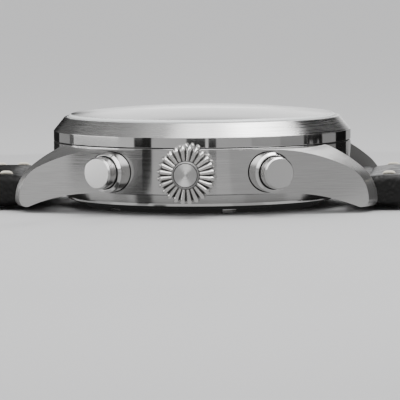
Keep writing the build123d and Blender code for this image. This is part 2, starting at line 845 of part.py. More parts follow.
def padded_strap(end, tail_base):
    """The padded start of a strap at the lugs, tapering to its thin, narrower tail."""
    start = bar_distance + loop_radius / 2
    collar_side = sqrt(loop_radius**2 - (start - bar_distance) ** 2)
    stations = [
        strap_section(start, half_strap, bar_height - collar_side, 2 * collar_side, 0.2 * pad_crown),
        strap_section(bar_distance + pad_place, half_strap, pad_base, pad_side, pad_crown),
        strap_section(bar_distance + taper_place, half_tail, tail_base, strap_tail_thickness, strap_tail_crown),
        strap_section(end, half_tail, tail_base, strap_tail_thickness, strap_tail_crown),
    ]
    body = loft(stations, ruled=True)
    body += cross_rod(loop_radius, half_strap, bar_distance, bar_height)
    return body - cross_rod(bar_radius + 2 * running_gap, half_gap, bar_distance, bar_height)


buckle_x = bar_distance + buckle_half_length
buckle_tail_base = keeper_wall + leather_gap
buckle_z = buckle_tail_base + strap_tail_thickness / 2


def strap_buckle_half():
    """The twelve o'clock half of the strap, whose end loops round the buckle's bar."""
    body = padded_strap(buckle_x, buckle_tail_base)
    body += cross_rod(buckle_loop_radius, half_tail, buckle_x, buckle_z)
    body -= cross_rod(buckle_bar_radius + 2 * running_gap, half_tail + overrun, buckle_x, buckle_z)
    half_slot = tongue_width / 2 + tongue_slot_gap
    body -= block((buckle_x - tongue_slot_length, -half_slot, 0),
                  (buckle_x + tongue_slot_length, half_slot, 2 * buckle_z + pad_side))
    return body


def strap_hole_half():
    """The six o'clock half of the strap, with its row of holes and pointed end."""
    end = bar_distance + hole_half_length
    body = padded_strap(end, 0)
    outline = make_face([
        Line((0, -half_strap), (end - tip_radius, -half_strap)),
        ThreePointArc((end - tip_radius, -half_strap), (end, 0), (end - tip_radius, half_strap)),
        Line((end - tip_radius, half_strap), (0, half_strap)),
        Line((0, half_strap), (0, -half_strap)),
    ])
    body &= extrude(Pos(0, 0, -overrun) * outline, bar_height + pad_side + 2 * overrun)
    for step in range(hole_count):
        place = (end - last_hole_place - step * hole_pitch, 0)
        body -= rod(hole_radius, -overrun, pad_side, place)
    return mirror(body, about=Plane.YZ)


def keeper(place, gap):
    """A leather loop round the strap's tail that holds the other half's end."""
    half = half_tail + gap
    low = buckle_tail_base - gap
    x = buckle_x - place
    outer = block((x - keeper_length, -half - keeper_side_wall, 0),
                  (x, half + keeper_side_wall, low + keeper_room + keeper_wall))
    return outer - block((x - keeper_length - overrun, -half, low), (x + overrun, half, low + keeper_room))


def buckle_frame():
    """The buckle's frame: two arms and a rounded front bar."""
    half_inner = half_tail + leather_gap
    half_outer = half_inner + buckle_side
    low = buckle_z - buckle_thickness / 2
    outer = block((buckle_x - buckle_heel, -half_outer, low),
                  (buckle_x + buckle_reach, half_outer, low + buckle_thickness))
    outer = fillet(outer.edges().filter_by(Axis.Z).group_by(Axis.X)[-1], buckle_corner)
    outer = chamfer(outer.faces().sort_by(Axis.Z)[-1].edges(), buckle_edge)
    window = block((buckle_x - buckle_heel - overrun, -half_inner, 0),
                   (buckle_x + buckle_reach - buckle_bar_width, half_inner, 2 * buckle_z + overrun))
    body = outer - window
    return body - cross_rod(buckle_bar_radius + press_gap, half_inner + buckle_side / 2, buckle_x, buckle_z)


def buckle_bar():
    """The spring bar that joins the buckle and its tongue to the strap."""
    return cross_rod(buckle_bar_radius, half_tail + leather_gap + buckle_side / 2 - press_gap, buckle_x, buckle_z)


def buckle_tongue():
    """The tongue: an eye round the bar and a tapered shank that rests on the front bar."""
    top = buckle_z + buckle_thickness / 2 + shake
    end = buckle_x + buckle_reach + tongue_overhang
    inner = buckle_x + buckle_reach - buckle_bar_width - tongue_overhang
    side = make_face(Polyline((buckle_x, buckle_z + tongue_eye_radius), (inner, top + tongue_thickness),
                              (end, top + 0.8 * tongue_thickness), (end, top + 0.2 * tongue_thickness),
                              (end - tongue_overhang, top), (inner, top), (buckle_x, buckle_z), close=True))
    body = extrude(Plane.XZ * side, tongue_width / 2, both=True)
    body += cross_rod(tongue_eye_radius, tongue_width / 2, buckle_x, buckle_z)
    return body - cross_rod(buckle_bar_radius + running_gap, tongue_width, buckle_x, buckle_z)


nodes = {
    "mid_case": mid_case,
    "bezel": bezel,
    "crystal": crystal,
    "crystal_gasket": crystal_gasket,
    "case_back": case_back,
    "case_back_gasket": case_back_gasket,
    "crown_tube": crown_tube,
    "crown": crown,
    "winding_stem": winding_stem,
    "setting_lever": setting_lever,
    "start_pusher_collar": lambda: pusher_collar(pusher_turn),
    "reset_pusher_collar": lambda: pusher_collar(-pusher_turn),
    "start_pusher": lambda: pusher(pusher_turn),
    "reset_pusher": lambda: pusher(-pusher_turn),
    "slope_ring": slope_ring,
    "dial": dial,
    "hour_hand": hour_hand,
    "hour_wheel": hour_wheel,
    "minute_hand": minute_hand,
    "cannon_pinion": cannon_pinion,
    "chrono_seconds_hand": chrono_seconds_hand,
    "minute_counter_hand": lambda: counter_hand(minute_counter_centre, 0),
    "hour_counter_hand": lambda: counter_hand(hour_counter_centre, 0),
    "running_seconds_hand": running_seconds_hand,
    "movement_ring": movement_ring,
    "mainplate": mainplate,
    "barrel_bridge": barrel_bridge,
    "train_bridge": train_bridge,
    "balance_cock": balance_cock,
    "balance_wheel": balance_wheel,
    "pallet_fork": pallet_fork,
    "escape_wheel": escape_wheel,
    "fourth_wheel": fourth_wheel,
    "barrel": barrel,
    "rotor_bearing": rotor_bearing,
    "rotor": rotor,
    "spring_bar_12": lambda: spring_bar(1),
    "spring_bar_6": lambda: spring_bar(-1),
    "strap_buckle_half": strap_buckle_half,
    "strap_hole_half": strap_hole_half,
    "fixed_keeper": lambda: keeper(fixed_keeper_place, press_gap),
    "free_keeper": lambda: keeper(free_keeper_place, leather_gap),
    "buckle_frame": buckle_frame,
    "buckle_bar": buckle_bar,
    "buckle_tongue": buckle_tongue,
}

os.makedirs("parts", exist_ok=True)
for name, make in nodes.items():
    export_step(make(), f"parts/{name}.step")
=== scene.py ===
import bmesh
import bpy
import math
import numpy as np
from mathutils import Matrix, Vector


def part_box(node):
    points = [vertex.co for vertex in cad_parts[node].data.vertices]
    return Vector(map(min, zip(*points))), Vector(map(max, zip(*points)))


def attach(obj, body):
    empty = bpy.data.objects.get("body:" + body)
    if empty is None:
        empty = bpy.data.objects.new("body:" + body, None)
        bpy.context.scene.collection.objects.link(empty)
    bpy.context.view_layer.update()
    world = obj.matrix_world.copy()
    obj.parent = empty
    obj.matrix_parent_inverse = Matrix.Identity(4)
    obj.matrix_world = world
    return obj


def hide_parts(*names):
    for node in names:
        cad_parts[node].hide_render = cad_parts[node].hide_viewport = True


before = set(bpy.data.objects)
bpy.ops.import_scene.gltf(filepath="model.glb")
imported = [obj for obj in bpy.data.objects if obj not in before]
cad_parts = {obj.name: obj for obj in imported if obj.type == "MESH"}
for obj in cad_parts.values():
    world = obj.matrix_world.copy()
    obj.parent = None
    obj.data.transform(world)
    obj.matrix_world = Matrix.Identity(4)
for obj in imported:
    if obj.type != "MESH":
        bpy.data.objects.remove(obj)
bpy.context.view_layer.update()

# Everything below is in millimetres in the watch's own frame until a mesh is made.
# +Z goes up through the dial, the crown points along -Y and twelve o'clock along +X.
MM = 0.001
FULL_TURN = 2 * math.pi
# Radius of a turned profile's ends on its axis, where points must not fall together
AXIS = 0.001
# Most of a noise texture's values lie between these
NOISE_RANGE = (0.3, 0.7)


def low(node):
    """Lowest corner of a CAD node in millimetres."""
    return np.array(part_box(node)[0]) / MM


def high(node):
    """Highest corner of a CAD node in millimetres."""
    return np.array(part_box(node)[1]) / MM


# Sizes of the case
case_radius = high("bezel")[0]
case_bore = case_radius - 3.2
back_rim_radius = high("case_back")[0]
rim_top = high("case_back")[2]
flank_base = rim_top + 1.35
underside_radius = case_radius - 1.5
flank_top = high("mid_case")[2]
band_top = flank_top + 1.55
bezel_top = high("bezel")[2]
bezel_top_radius = case_radius - 1.6
crystal_radius = high("crystal")[0]
crystal_base = low("crystal")[2]
crystal_top = high("crystal")[2]
crystal_edge = bezel_top + 0.4
gasket_outer = high("crystal_gasket")[0]
dial_top = high("dial")[2]
slope_foot = case_bore - 1.0

# Sizes of the lugs and the strap's bars
half_gap = 11.0
flank_turn = math.radians(18)
bar_distance = case_radius + 2.0
bar_height = (low("spring_bar_12")[2] + high("spring_bar_12")[2]) / 2

# Sizes of the crown and the pushers
stem_height = (low("crown")[2] + high("crown")[2]) / 2
crown_back = -high("crown")[1]
crown_boss_top = -low("crown")[1]
crown_face = crown_boss_top - 0.4
pusher_turn = math.radians(30)
pusher_flank = case_radius / math.cos(pusher_turn - flank_turn)
seat_floor = pusher_flank - 0.85
seat_radius = 2.9

# Sizes of the strap: the roll round the bar, the padded root and the thin tail
loop = 1.95
strap_half = high("strap_hole_half")[1]
strap_edge = 0.9
root_base, root_top, root_crown = 0.5, 5.1, 0.5
tail_half = 9.0
tail_thickness = 2.4
tail_crown = 0.12
taper_end = bar_distance + 36.0

# Centres of the dial's counters
minute_counter = (7.2, 0)
hour_counter = (-7.2, 0)
running_seconds = (0, 7.2)

# Turn of the camera from the crown's side in degrees, and radius of the light tent
camera_yaw = 5.24
tent_radius = 118.0


# Meshes


def finish_mesh(name, mesh, materials, sharp=40):
    """An object at the origin with smooth shading that breaks at edges sharper than that angle."""
    mesh.polygons.foreach_set("use_smooth", np.ones(len(mesh.polygons), bool))
    mesh.set_sharp_from_angle(angle=math.radians(sharp))
    for material in materials:
        mesh.materials.append(material)
    obj = bpy.data.objects.new(name, mesh)
    bpy.context.scene.collection.objects.link(obj)
    return obj


def face_out(mesh):
    """Turns every face of a closed mesh outwards."""
    work = bmesh.new()
    work.from_mesh(mesh)
    bmesh.ops.recalc_face_normals(work, faces=work.faces)
    work.to_mesh(mesh)
    work.free()


def grid(name, points, materials, index=None, wrap=True, close=False, caps=False, sharp=40, cap_index=None,
         cap_places=None):
    """A surface through a rows x columns array of points in millimetres.

    Columns wrap round where wrap is set, and rows where close is set. caps closes the first and the last row
    with a face each, whose materials and UV places are cap_index and cap_places. index gives each row of
    faces its material. The UV map Grain runs along the columns, the way that brushed metal is brushed.
    """
    rows, columns = points.shape[:2]
    number = np.arange(rows * columns).reshape(rows, columns)
    if close:
        number = np.concatenate([number, number[:1]])
    after = np.roll(number, -1, 1)
    if not wrap:
        number, after = number[:, :-1], after[:, :-1]
    quads = np.stack([number[:-1], after[:-1], after[1:], number[1:]], -1)
    steps, across = quads.shape[:2]
    count = steps * across
    ends = [number[0][::-1], number[-1]] if caps else []
    corners = np.concatenate([quads.ravel(), *ends])
    mesh = bpy.data.meshes.new(name)
    mesh.vertices.add(rows * columns)
    mesh.vertices.foreach_set("co", (points * MM).astype(np.float32).ravel())
    mesh.loops.add(len(corners))
    mesh.loops.foreach_set("vertex_index", corners.astype(np.int32))
    mesh.polygons.add(count + len(ends))
    starts = np.concatenate([np.arange(count) * 4, count * 4 + np.arange(len(ends)) * columns])
    mesh.polygons.foreach_set("loop_start", starts.astype(np.int32))
    index = np.zeros(steps, int) if index is None else np.asarray(index)[:steps]
    cap_index = cap_index or (index[0], index[-1])
    slots = np.concatenate([np.repeat(index, across), cap_index if caps else []])
    mesh.polygons.foreach_set("material_index", slots.astype(np.int32))
    places = np.stack(np.meshgrid(np.arange(across), np.arange(steps)), -1)[:, :, None]
    places = ((places + [(0, 0), (1, 0), (1, 1), (0, 1)]) / (across, steps)).reshape(-1, 2)
    cap_places = [disc_outline(1, count=columns)] * len(ends) if cap_places is None else cap_places
    grain = mesh.uv_layers.new(name="Grain")
    grain.data.foreach_set("uv", np.concatenate([places, *cap_places]).astype(np.float32).ravel())
    mesh.update()
    if caps or close:
        face_out(mesh)
    return finish_mesh(name, mesh, materials, sharp)


def plates(name, outlines, low_z, high_z, material):
    """Flat plates between two heights, one for each outline of plan points.

    An outline's ring of points stands at both heights, with a face across each and a wall between the two.
    """
    vertices, faces, base = [], [], 0
    for outline in outlines:
        count = len(outline)
        ring = base + np.arange(count)
        after = np.roll(ring, -1)
        vertices += [np.column_stack([outline, np.full(count, z)]) for z in (low_z, high_z)]
        faces += [ring, ring + count, *np.stack([ring, after, after + count, ring + count], -1)]
        base += 2 * count
    mesh = bpy.data.meshes.new(name)
    mesh.from_pydata(np.concatenate(vertices) * MM, [], faces)
    mesh.update()
    face_out(mesh)
    return finish_mesh(name, mesh, [material], 30)


def unit(vector):
    """The vector at length 1."""
    return vector / np.linalg.norm(vector)


def smooth_step(x, start, end):
    """0 before start, 1 after end and an S-curve between."""
    t = np.clip((x - start) / (end - start), 0, 1)
    return t * t * (3 - 2 * t)


def rounded(outline, closed, steps=5, support=0.015):
    """Outline points from (radius, height, corner radius, material) with every corner turned into an arc.

    The corner radius and the material may be left out, and are 0 then. An arc's points are the weighted sum
    of its end arms, with the sines of the sweep before and behind them as weights. A support point beside
    both ends keeps the flat walls flat in shading. Returns the points and the material after each.
    """
    points, index = [], []
    outline = [(*entry, 0, 0)[:4] for entry in outline]
    count = len(outline)
    share = np.linspace(0, 1, steps + 1)[:, None]
    for i, (x, y, corner, material) in enumerate(outline):
        here = np.array((x, y), float)
        if corner == 0 or (not closed and i in (0, count - 1)):
            points.append(here)
            index.append(material)
            continue
        before = unit(np.array(outline[i - 1][:2], float) - here)
        after = unit(np.array(outline[(i + 1) % count][:2], float) - here)
        half = math.acos(np.clip(before @ after, -1, 1)) / 2
        setback = corner / math.tan(half)
        centre = here + unit(before + after) * corner / math.sin(half)
        first, last = here + before * setback - centre, here + after * setback - centre
        sweep = math.pi - 2 * half
        arc = centre + (first * np.sin(sweep * (1 - share)) + last * np.sin(sweep * share)) / math.sin(sweep)
        points += [here + before * (setback + support), *arc, here + after * (setback + support)]
        index += [outline[i - 1][3]] * (1 + steps // 2) + [material] * (steps + 2 - steps // 2)
    return np.array(points), index


def along_x(x, outlines):
    """Outlines of (y, z) points, each at its own x: rows x columns x 3."""
    places = np.broadcast_to(np.reshape(x, (-1, 1, 1)), (*outlines.shape[:2], 1))
    return np.concatenate([places, outlines], -1)


def disc_outline(radius, centre=(0, 0), count=40):
    """Plan points round a circle."""
    turns = np.arange(count) * FULL_TURN / count
    return centre + radius * np.stack([np.cos(turns), np.sin(turns)], -1)


def about_z(radii, heights, turns):
    """Points at each height and radius for each turn round Z: rows x columns x 3."""
    return np.stack([radii[:, None] * np.cos(turns), radii[:, None] * np.sin(turns),
                     np.broadcast_to(heights[:, None], (len(radii), len(turns)))], -1)


def outward(points, turn):
    """Points whose Z looks out through the flank, at the stem's height and at a turn from the crown."""
    across = np.array((math.cos(turn), math.sin(turn), 0))
    out = np.array((math.sin(turn), -math.cos(turn), 0))
    up = np.cross(out, across)
    base = np.array((0, 0, stem_height))
    return base + points[..., 0:1] * across + points[..., 1:2] * up + points[..., 2:3] * out


def lathe(name, outline, materials, closed=False, segments=256, turn=None, sharp=40):
    """A piece turned about Z, or about a line that looks out through the flank where turn is given."""
    points, index = rounded(outline, closed)
    turns = np.arange(segments) * FULL_TURN / segments
    surface = about_z(points[:, 0], points[:, 1], turns)
    if turn is not None:
        surface = outward(surface, turn)
    index = index if closed else index[:-1]
    return grid(name, surface, materials, index, close=closed, caps=not closed, sharp=sharp)


def ride(obj, body, *nodes, slot=None):
    """The piece rides on a body and may stand for CAD nodes; slot is not used."""
    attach(obj, body)
    if nodes:
        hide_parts(*nodes)
    return obj


# Materials


def new_material(name, colour, roughness, metallic=0.0):
    """A Principled material; returns it with its node tree and shader."""
    material = bpy.data.materials.new(name)
    material.use_nodes = True
    shader = material.node_tree.nodes["Principled BSDF"]
    shader.inputs["Base Color"].default_value = (*colour, 1)
    shader.inputs["Roughness"].default_value = roughness
    shader.inputs["Metallic"].default_value = metallic
    return material, material.node_tree, shader


def add_node(tree, kind, **inputs):
    """A shader node. Each input is a constant or a node's output, and _ stands for a space in its name."""
    node = tree.nodes.new("ShaderNode" + kind)
    for name, value in inputs.items():
        socket = node.inputs[name.replace("_", " ")]
        if isinstance(value, bpy.types.NodeSocket):
            tree.links.new(value, socket)
        else:
            socket.default_value = value
    return node


def stretched_noise(tree, scale, detail=3.0, source=None):
    """Noise on a source or on object coordinates in metres, stretched by a scale for each axis."""
    source = source or add_node(tree, "TexCoord").outputs["Object"]
    place = add_node(tree, "Mapping", Vector=source, Scale=scale).outputs["Vector"]
    return add_node(tree, "TexNoise", Vector=place, Scale=1.0, Detail=detail, Roughness=0.6).outputs["Fac"]


def ring_coordinates(tree, centre, axis):
    """Coordinates in rings about an axis: distance from it, height along it and one place across it."""
    move, flat, length = [add_node(tree, "VectorMath") for _ in range(3)]
    move.operation, flat.operation, length.operation = "SUBTRACT", "MULTIPLY", "LENGTH"
    move.inputs[1].default_value = centre
    flat.inputs[1].default_value = tuple(float(k != axis) for k in range(3))
    tree.links.new(add_node(tree, "TexCoord").outputs["Object"], move.inputs[0])
    tree.links.new(move.outputs["Vector"], flat.inputs[0])
    tree.links.new(flat.outputs["Vector"], length.inputs[0])
    parts = add_node(tree, "SeparateXYZ", Vector=move.outputs["Vector"]).outputs
    join = add_node(tree, "CombineXYZ", X=length.outputs["Value"], Y=parts[axis], Z=parts[(axis + 1) % 3])
    return join.outputs["Vector"]


def varied_gloss(tree, shader, source, low_value, high_value):
    """Spreads the noise's usual values over a range of roughness."""
    start, end = NOISE_RANGE
    spread = add_node(tree, "MapRange", Value=source, From_Min=start, From_Max=end, To_Min=low_value,
                      To_Max=high_value)
    tree.links.new(spread.outputs["Result"], shader.inputs["Roughness"])


def toned(tree, shader, source, colours, places=NOISE_RANGE):
    """Lets the colour run from one colour to the other while a factor goes between two places."""
    tone = add_node(tree, "ValToRGB", Fac=source)
    for element, place, colour in zip(tone.color_ramp.elements, places, colours):
        element.position = place
        element.color = (*colour, 1)
    tree.links.new(tone.outputs["Color"], shader.inputs["Base Color"])


def bumped(tree, shader, source, strength, distance):
    """Lets a factor stand out as fine relief, with the height in millimetres."""
    bump = add_node(tree, "Bump", Height=source, Strength=strength, Distance=distance * MM)
    tree.links.new(bump.outputs["Normal"], shader.inputs["Normal"])


def brushed_steel(name, colour, roughness, anisotropy, rings=None, bump=0.25, lines=9000):
    """Brushed steel: highlights along the UV map Grain, with fine lines in the same direction.

    The lines lie across Z, or in rings about a centre and axis, or along the UV map.
    """
    material, tree, shader = new_material(name, colour, roughness, 1.0)
    shader.inputs["Anisotropic"].default_value = anisotropy
    shader.inputs["Anisotropic Rotation"].default_value = 0.25
    tangent = add_node(tree, "Tangent")
    tangent.direction_type = "UV_MAP"
    tangent.uv_map = "Grain"
    tree.links.new(tangent.outputs["Tangent"], shader.inputs["Tangent"])
    if rings is None:
        noise = stretched_noise(tree, (260, 260, lines))
    elif rings == "along":
        places = add_node(tree, "UVMap")
        places.uv_map = "Grain"
        noise = stretched_noise(tree, (6, 70, 1), source=places.outputs["UV"])
    else:
        noise = stretched_noise(tree, (lines, lines, 120), source=ring_coordinates(tree, *rings))
    varied_gloss(tree, shader, noise, 0.7 * roughness, 1.3 * roughness)
    toned(tree, shader, noise, [np.multiply(colour, share) for share in (0.93, 1.05)])
    bumped(tree, shader, noise, bump, 0.004)
    return material


def polished_steel(name, colour, roughness=0.06, valley_shade=None):
    """Polished steel with faint hairlines; a point attribute darkens it towards a second colour as painted
    shade.
    """
    material, tree, shader = new_material(name, colour, roughness, 1.0)
    noise = stretched_noise(tree, (5000, 5000, 9000))
    varied_gloss(tree, shader, noise, 0.85 * roughness, 1.15 * roughness)
    bumped(tree, shader, noise, 0.02, 0.001)
    if valley_shade:
        depth = add_node(tree, "Attribute")
        depth.attribute_name = "groove_shade"
        toned(tree, shader, depth.outputs["Fac"], (colour, valley_shade), (0, 1))
    return material


steel = (0.63, 0.625, 0.62)
# The crown's petals, with painted shade in their valleys.
petal_steel = polished_steel("petal_steel", (0.66, 0.65, 0.64), 0.22, valley_shade=(0.13, 0.129, 0.127))
flank_steel = brushed_steel("brushed_flank", steel, 0.1, 0.95, bump=0.16)
upright, along_stem = ((0, 0, 0), 2), ((0, 0, stem_height * MM), 1)
chamfer_steel = brushed_steel("brushed_chamfer", steel, 0.27, 0.92, rings=upright, lines=7000, bump=0.08)
disc_steel = brushed_steel("brushed_disc", steel, 0.37, 0.96, rings=along_stem, bump=0.04)
underside_steel = brushed_steel("brushed_underside", (0.56, 0.555, 0.55), 0.32, 0.9, rings=upright)
mirror_steel = polished_steel("polished_steel", (0.68, 0.675, 0.67))
# Painted shade: a darkened copy of the steel for the lugs' inner faces and the crown boss's ring.
shaded_steel = polished_steel("shaded_steel", (0.3, 0.297, 0.294), 0.34)
satin_steel = polished_steel("satin_steel", (0.69, 0.685, 0.68), 0.24)
strip_steel = brushed_steel("lug_strip_steel", (0.62, 0.615, 0.61), 0.33, 0.85, rings="along", bump=0.05)
turned_steel = polished_steel("turned_steel", (0.6, 0.595, 0.59), 0.2)
brass = polished_steel("movement_brass", (0.72, 0.55, 0.27), 0.3)


def painted(name, colour, roughness, grain=2600, depth=0.006):
    """Paint or lacquer with a fine grain."""
    material, tree, shader = new_material(name, colour, roughness)
    noise = stretched_noise(tree, (grain, grain, grain))
    varied_gloss(tree, shader, noise, 0.85 * roughness, 1.15 * roughness)
    bumped(tree, shader, noise, 0.3, depth)
    return material


# Painted shade: near-black laid into joints, grooves, gaps and seats where shade falls.
painted_shade_black = painted("joint_shadow", (0.012, 0.012, 0.012), 0.7)
dial_black = painted("dial_black", (0.012, 0.012, 0.013), 0.55, 5200, 0.002)
print_white = painted("print_white", (0.78, 0.77, 0.73), 0.6)
lume_white = painted("lume_white", (0.8, 0.8, 0.72), 0.75, 5200, 0.01)


def leather(name, colour, grain_height):
    """Calf leather: small irregular pebbles with creases, uneven dye and a soft gloss."""
    material, tree, shader = new_material(name, colour, 0.42)
    shader.inputs["Specular IOR Level"].default_value = 0.25
    place = add_node(tree, "TexCoord").outputs["Object"]
    cells = add_node(tree, "TexVoronoi", Vector=place, Scale=1900)
    cells.feature = "SMOOTH_F1"
    creases = add_node(tree, "TexNoise", Vector=place, Scale=700, Detail=6).outputs["Fac"]
    patches = add_node(tree, "TexNoise", Vector=place, Scale=160, Detail=4).outputs["Fac"]
    relief = add_node(tree, "Mix", Factor=0.45, A=cells.outputs["Distance"], B=creases)
    toned(tree, shader, patches, [np.multiply(colour, share) for share in (0.7, 1.5)], (0.3, 0.75))
    varied_gloss(tree, shader, creases, 0.33, 0.55)
    bumped(tree, shader, relief.outputs[0], 0.9, grain_height)
    return material


strap_leather = leather("strap_leather", (0.006, 0.0058, 0.0056), 0.22)
keeper_leather = leather("keeper_leather", (0.008, 0.0077, 0.0075), 0.1)


def thread():
    """Cream linen thread with its twist."""
    material, tree, shader = new_material("cream_thread", (0.66, 0.62, 0.52), 0.8)
    bumped(tree, shader, stretched_noise(tree, (5200, 3000, 3000), detail=2.0), 0.8, 0.04)
    shader.inputs["Sheen Weight"].default_value = 0.3
    return material


cream_thread = thread()


def clear_crystal():
    """Sapphire crystal: clear, with the weaker reflections of a coated surface."""
    material, _, shader = new_material("sapphire_crystal", (0.96, 0.98, 0.98), 0.0)
    shader.inputs["IOR"].default_value = 1.5
    shader.inputs["Transmission Weight"].default_value = 1.0
    return material


crystal_glass = clear_crystal()
ground_glass = painted("crystal_ground_edge", (0.75, 0.77, 0.77), 0.35, 4000, 0.004)
seal_grey = painted("seal_rubber", (0.3, 0.3, 0.3), 0.5)


# Case


def bezel():
    """The bezel: polished band over a fine joint painted black as shade, brushed chamfer and the seat of the
    crystal.
    """
    joint_depth, joint_top = 0.25, flank_top + 0.15
    outline = [(case_bore, flank_top, 0, 2), (case_radius - joint_depth, flank_top, 0, 2),
               (case_radius - joint_depth, joint_top, 0, 2), (case_radius, joint_top, 0.03),
               (case_radius, band_top, 0.04, 1), (bezel_top_radius, bezel_top, 0.08),
               (gasket_outer, bezel_top), (gasket_outer, crystal_base), (case_bore, crystal_base)]
    obj = lathe("bezel_ring", outline, [mirror_steel, chamfer_steel, painted_shade_black], closed=True, segments=512)
    ride(obj, "case", "bezel", slot="case_steel")


def pocket(turn):
    """A cutter for the round seat that a pusher's collar is let into; its black passes to the seat's walls as
    painted shade.
    """
    end = pusher_flank + 1
    outline = [(AXIS, seat_floor), (seat_radius, seat_floor), (seat_radius, end), (AXIS, end)]
    return lathe("pocket_cutter", outline, [painted_shade_black], segments=96, turn=turn)


def cut(obj, cutter):
    """Takes the cutter's volume out of the piece and removes the cutter."""
    take = obj.modifiers.new("cut", "BOOLEAN")
    take.operation = "DIFFERENCE"
    take.solver = "EXACT"
    take.material_mode = "TRANSFER"
    take.object = cutter
    bpy.context.view_layer.update()
    done = bpy.data.meshes.new_from_object(obj.evaluated_get(bpy.context.evaluated_depsgraph_get()))
    obj.modifiers.clear()
    done.set_sharp_from_angle(angle=math.radians(30))
    obj.data = done
    bpy.data.objects.remove(cutter)


def middle_case():
    """The middle case without its lugs: brushed flank over a fine groove painted black as shade, and the dark
    underside.
    """
    joint_depth = 0.11
    outline = [(case_bore, rim_top), (underside_radius, rim_top, 0.06, 1),
               (case_radius - 0.08, flank_base - 0.07, 0, 2), (case_radius - joint_depth, flank_base, 0, 2),
               (case_radius, flank_base + 0.02, 0.03), (case_radius, flank_top, 0.06),
               (case_bore, flank_top)]
    obj = lathe("case_ring", outline, [flank_steel, underside_steel, painted_shade_black], closed=True, segments=512)
    for turn in (-pusher_turn, pusher_turn):
        cut(obj, pocket(turn))
    ride(obj, "case", "mid_case", slot="case_steel")


def turned_arc(start, heading, radius, sweep, steps):
    """Points along an arc from a start and heading, to the left where its sweep in degrees is positive.

    They are centre plus radius times the cosine and sine of even turns. Returns the last heading too.
    """
    side = 1 if sweep > 0 else -1
    centre = start + side * radius * np.array((-math.sin(heading), math.cos(heading)))
    turns = np.linspace(0, math.radians(sweep), steps + 1)
    first = heading - side * math.pi / 2
    points = centre + radius * np.stack([np.cos(first + turns), np.sin(first + turns)], -1)
    return points, heading + math.radians(sweep)


def lug_section(root, reach, tip_height, toe_radius, tip_radius, tip_turn, shoulder_radius, shoulder_turn):
    """Side outline of a lug: along the arched underside, round toe and tip and back over the shoulder.

    Its arcs follow each other without a bend, and the arch's sweep brings the toe to its reach.
    """
    arch_radius = 28.0
    toe_x = reach - toe_radius
    rise = tip_height - flank_base + arch_radius
    span = math.sqrt((arch_radius + toe_radius) ** 2 - rise**2)
    sweep = math.degrees(math.asin(span / (arch_radius + toe_radius)))
    start = np.array((toe_x - span, flank_base))
    arch, heading = turned_arc(start, 0.0, arch_radius, -sweep, 24)
    toe, heading = turned_arc(arch[-1], heading, toe_radius, sweep + 90, 20)
    tip, heading = turned_arc(toe[-1], heading, tip_radius, tip_turn, 24)
    shoulder, heading = turned_arc(tip[-1], heading, shoulder_radius, shoulder_turn, 24)
    base = np.linspace((root, flank_base), start, 5)[:-1]
    top = np.linspace(shoulder[-1], (root, shoulder[-1][1]), 5)[1:]
    points = np.concatenate([base, arch, toe[1:], tip[1:], shoulder[1:], top])
    points[:, 1] = np.minimum(points[:, 1], flank_top - 0.01)
    return points


def lug(name, end, side):
    """One lug, ruled from its crest beside the strap to its outer flank.

    The two outlines have equally many points, and a row of the surface is their mean at its share of the way.
    """
    crest_root = math.sqrt((case_bore + 0.1) ** 2 - half_gap**2)
    crest_reach = high("mid_case")[0] + 0.1
    start = np.array((case_radius * math.sin(flank_turn), -case_radius * math.cos(flank_turn)))
    flank_reach = (crest_reach - 1.1 - start[0]) / math.cos(flank_turn)
    crest = lug_section(crest_root, crest_reach, tip_height=1.65, toe_radius=0.95, tip_radius=6.0,
                        tip_turn=48.9, shoulder_radius=19.3, shoulder_turn=35.0)
    flank = lug_section(0.0, flank_reach, tip_height=1.95, toe_radius=1.1, tip_radius=5.1,
                        tip_turn=63.7, shoulder_radius=26.0, shoulder_turn=26.3)
    inner = np.stack([crest[:, 0], np.full(len(crest), -half_gap), crest[:, 1]], -1)
    outer = np.stack([start[0] + flank[:, 0] * math.cos(flank_turn),
                      start[1] + flank[:, 0] * math.sin(flank_turn), flank[:, 1]], -1)
    share = np.linspace(0, 1, 9)[:, None, None]
    rows = (inner * (1 - share) + outer * share) * (end, side, 1)
    grain_length = 50
    # The inner face between the lugs, the first cap, takes the darkened steel as painted shade.
    obj = grid(name, rows, [strip_steel, flank_steel, mirror_steel, shaded_steel], caps=True, sharp=30,
               cap_index=(3, 1), cap_places=[crest[::-1] / grain_length, flank / grain_length])
    ride(obj, "case", slot="case_steel")
    return obj


def eased(obj, width, slot):
    """Rounds the sharp edges of a piece, with a material slot for the rounding."""
    bevel = obj.modifiers.new("eased", "BEVEL")
    bevel.width = width * MM
    bevel.segments = 3
    bevel.limit_method = "ANGLE"
    bevel.angle_limit = math.radians(30)
    bevel.harden_normals = True
    bevel.use_clamp_overlap = True
    bevel.material = slot


def lugs():
    """The four lugs; the two by the crown carry the seats of the pushers."""
    for end, side, name in ((1, 1, "lug_start"), (-1, 1, "lug_reset"), (1, -1, "lug_far_12"),
                            (-1, -1, "lug_far_6")):
        obj = lug(name, end, side)
        if side > 0:
            cut(obj, pocket(end * pusher_turn))
        eased(obj, 0.07, 2)


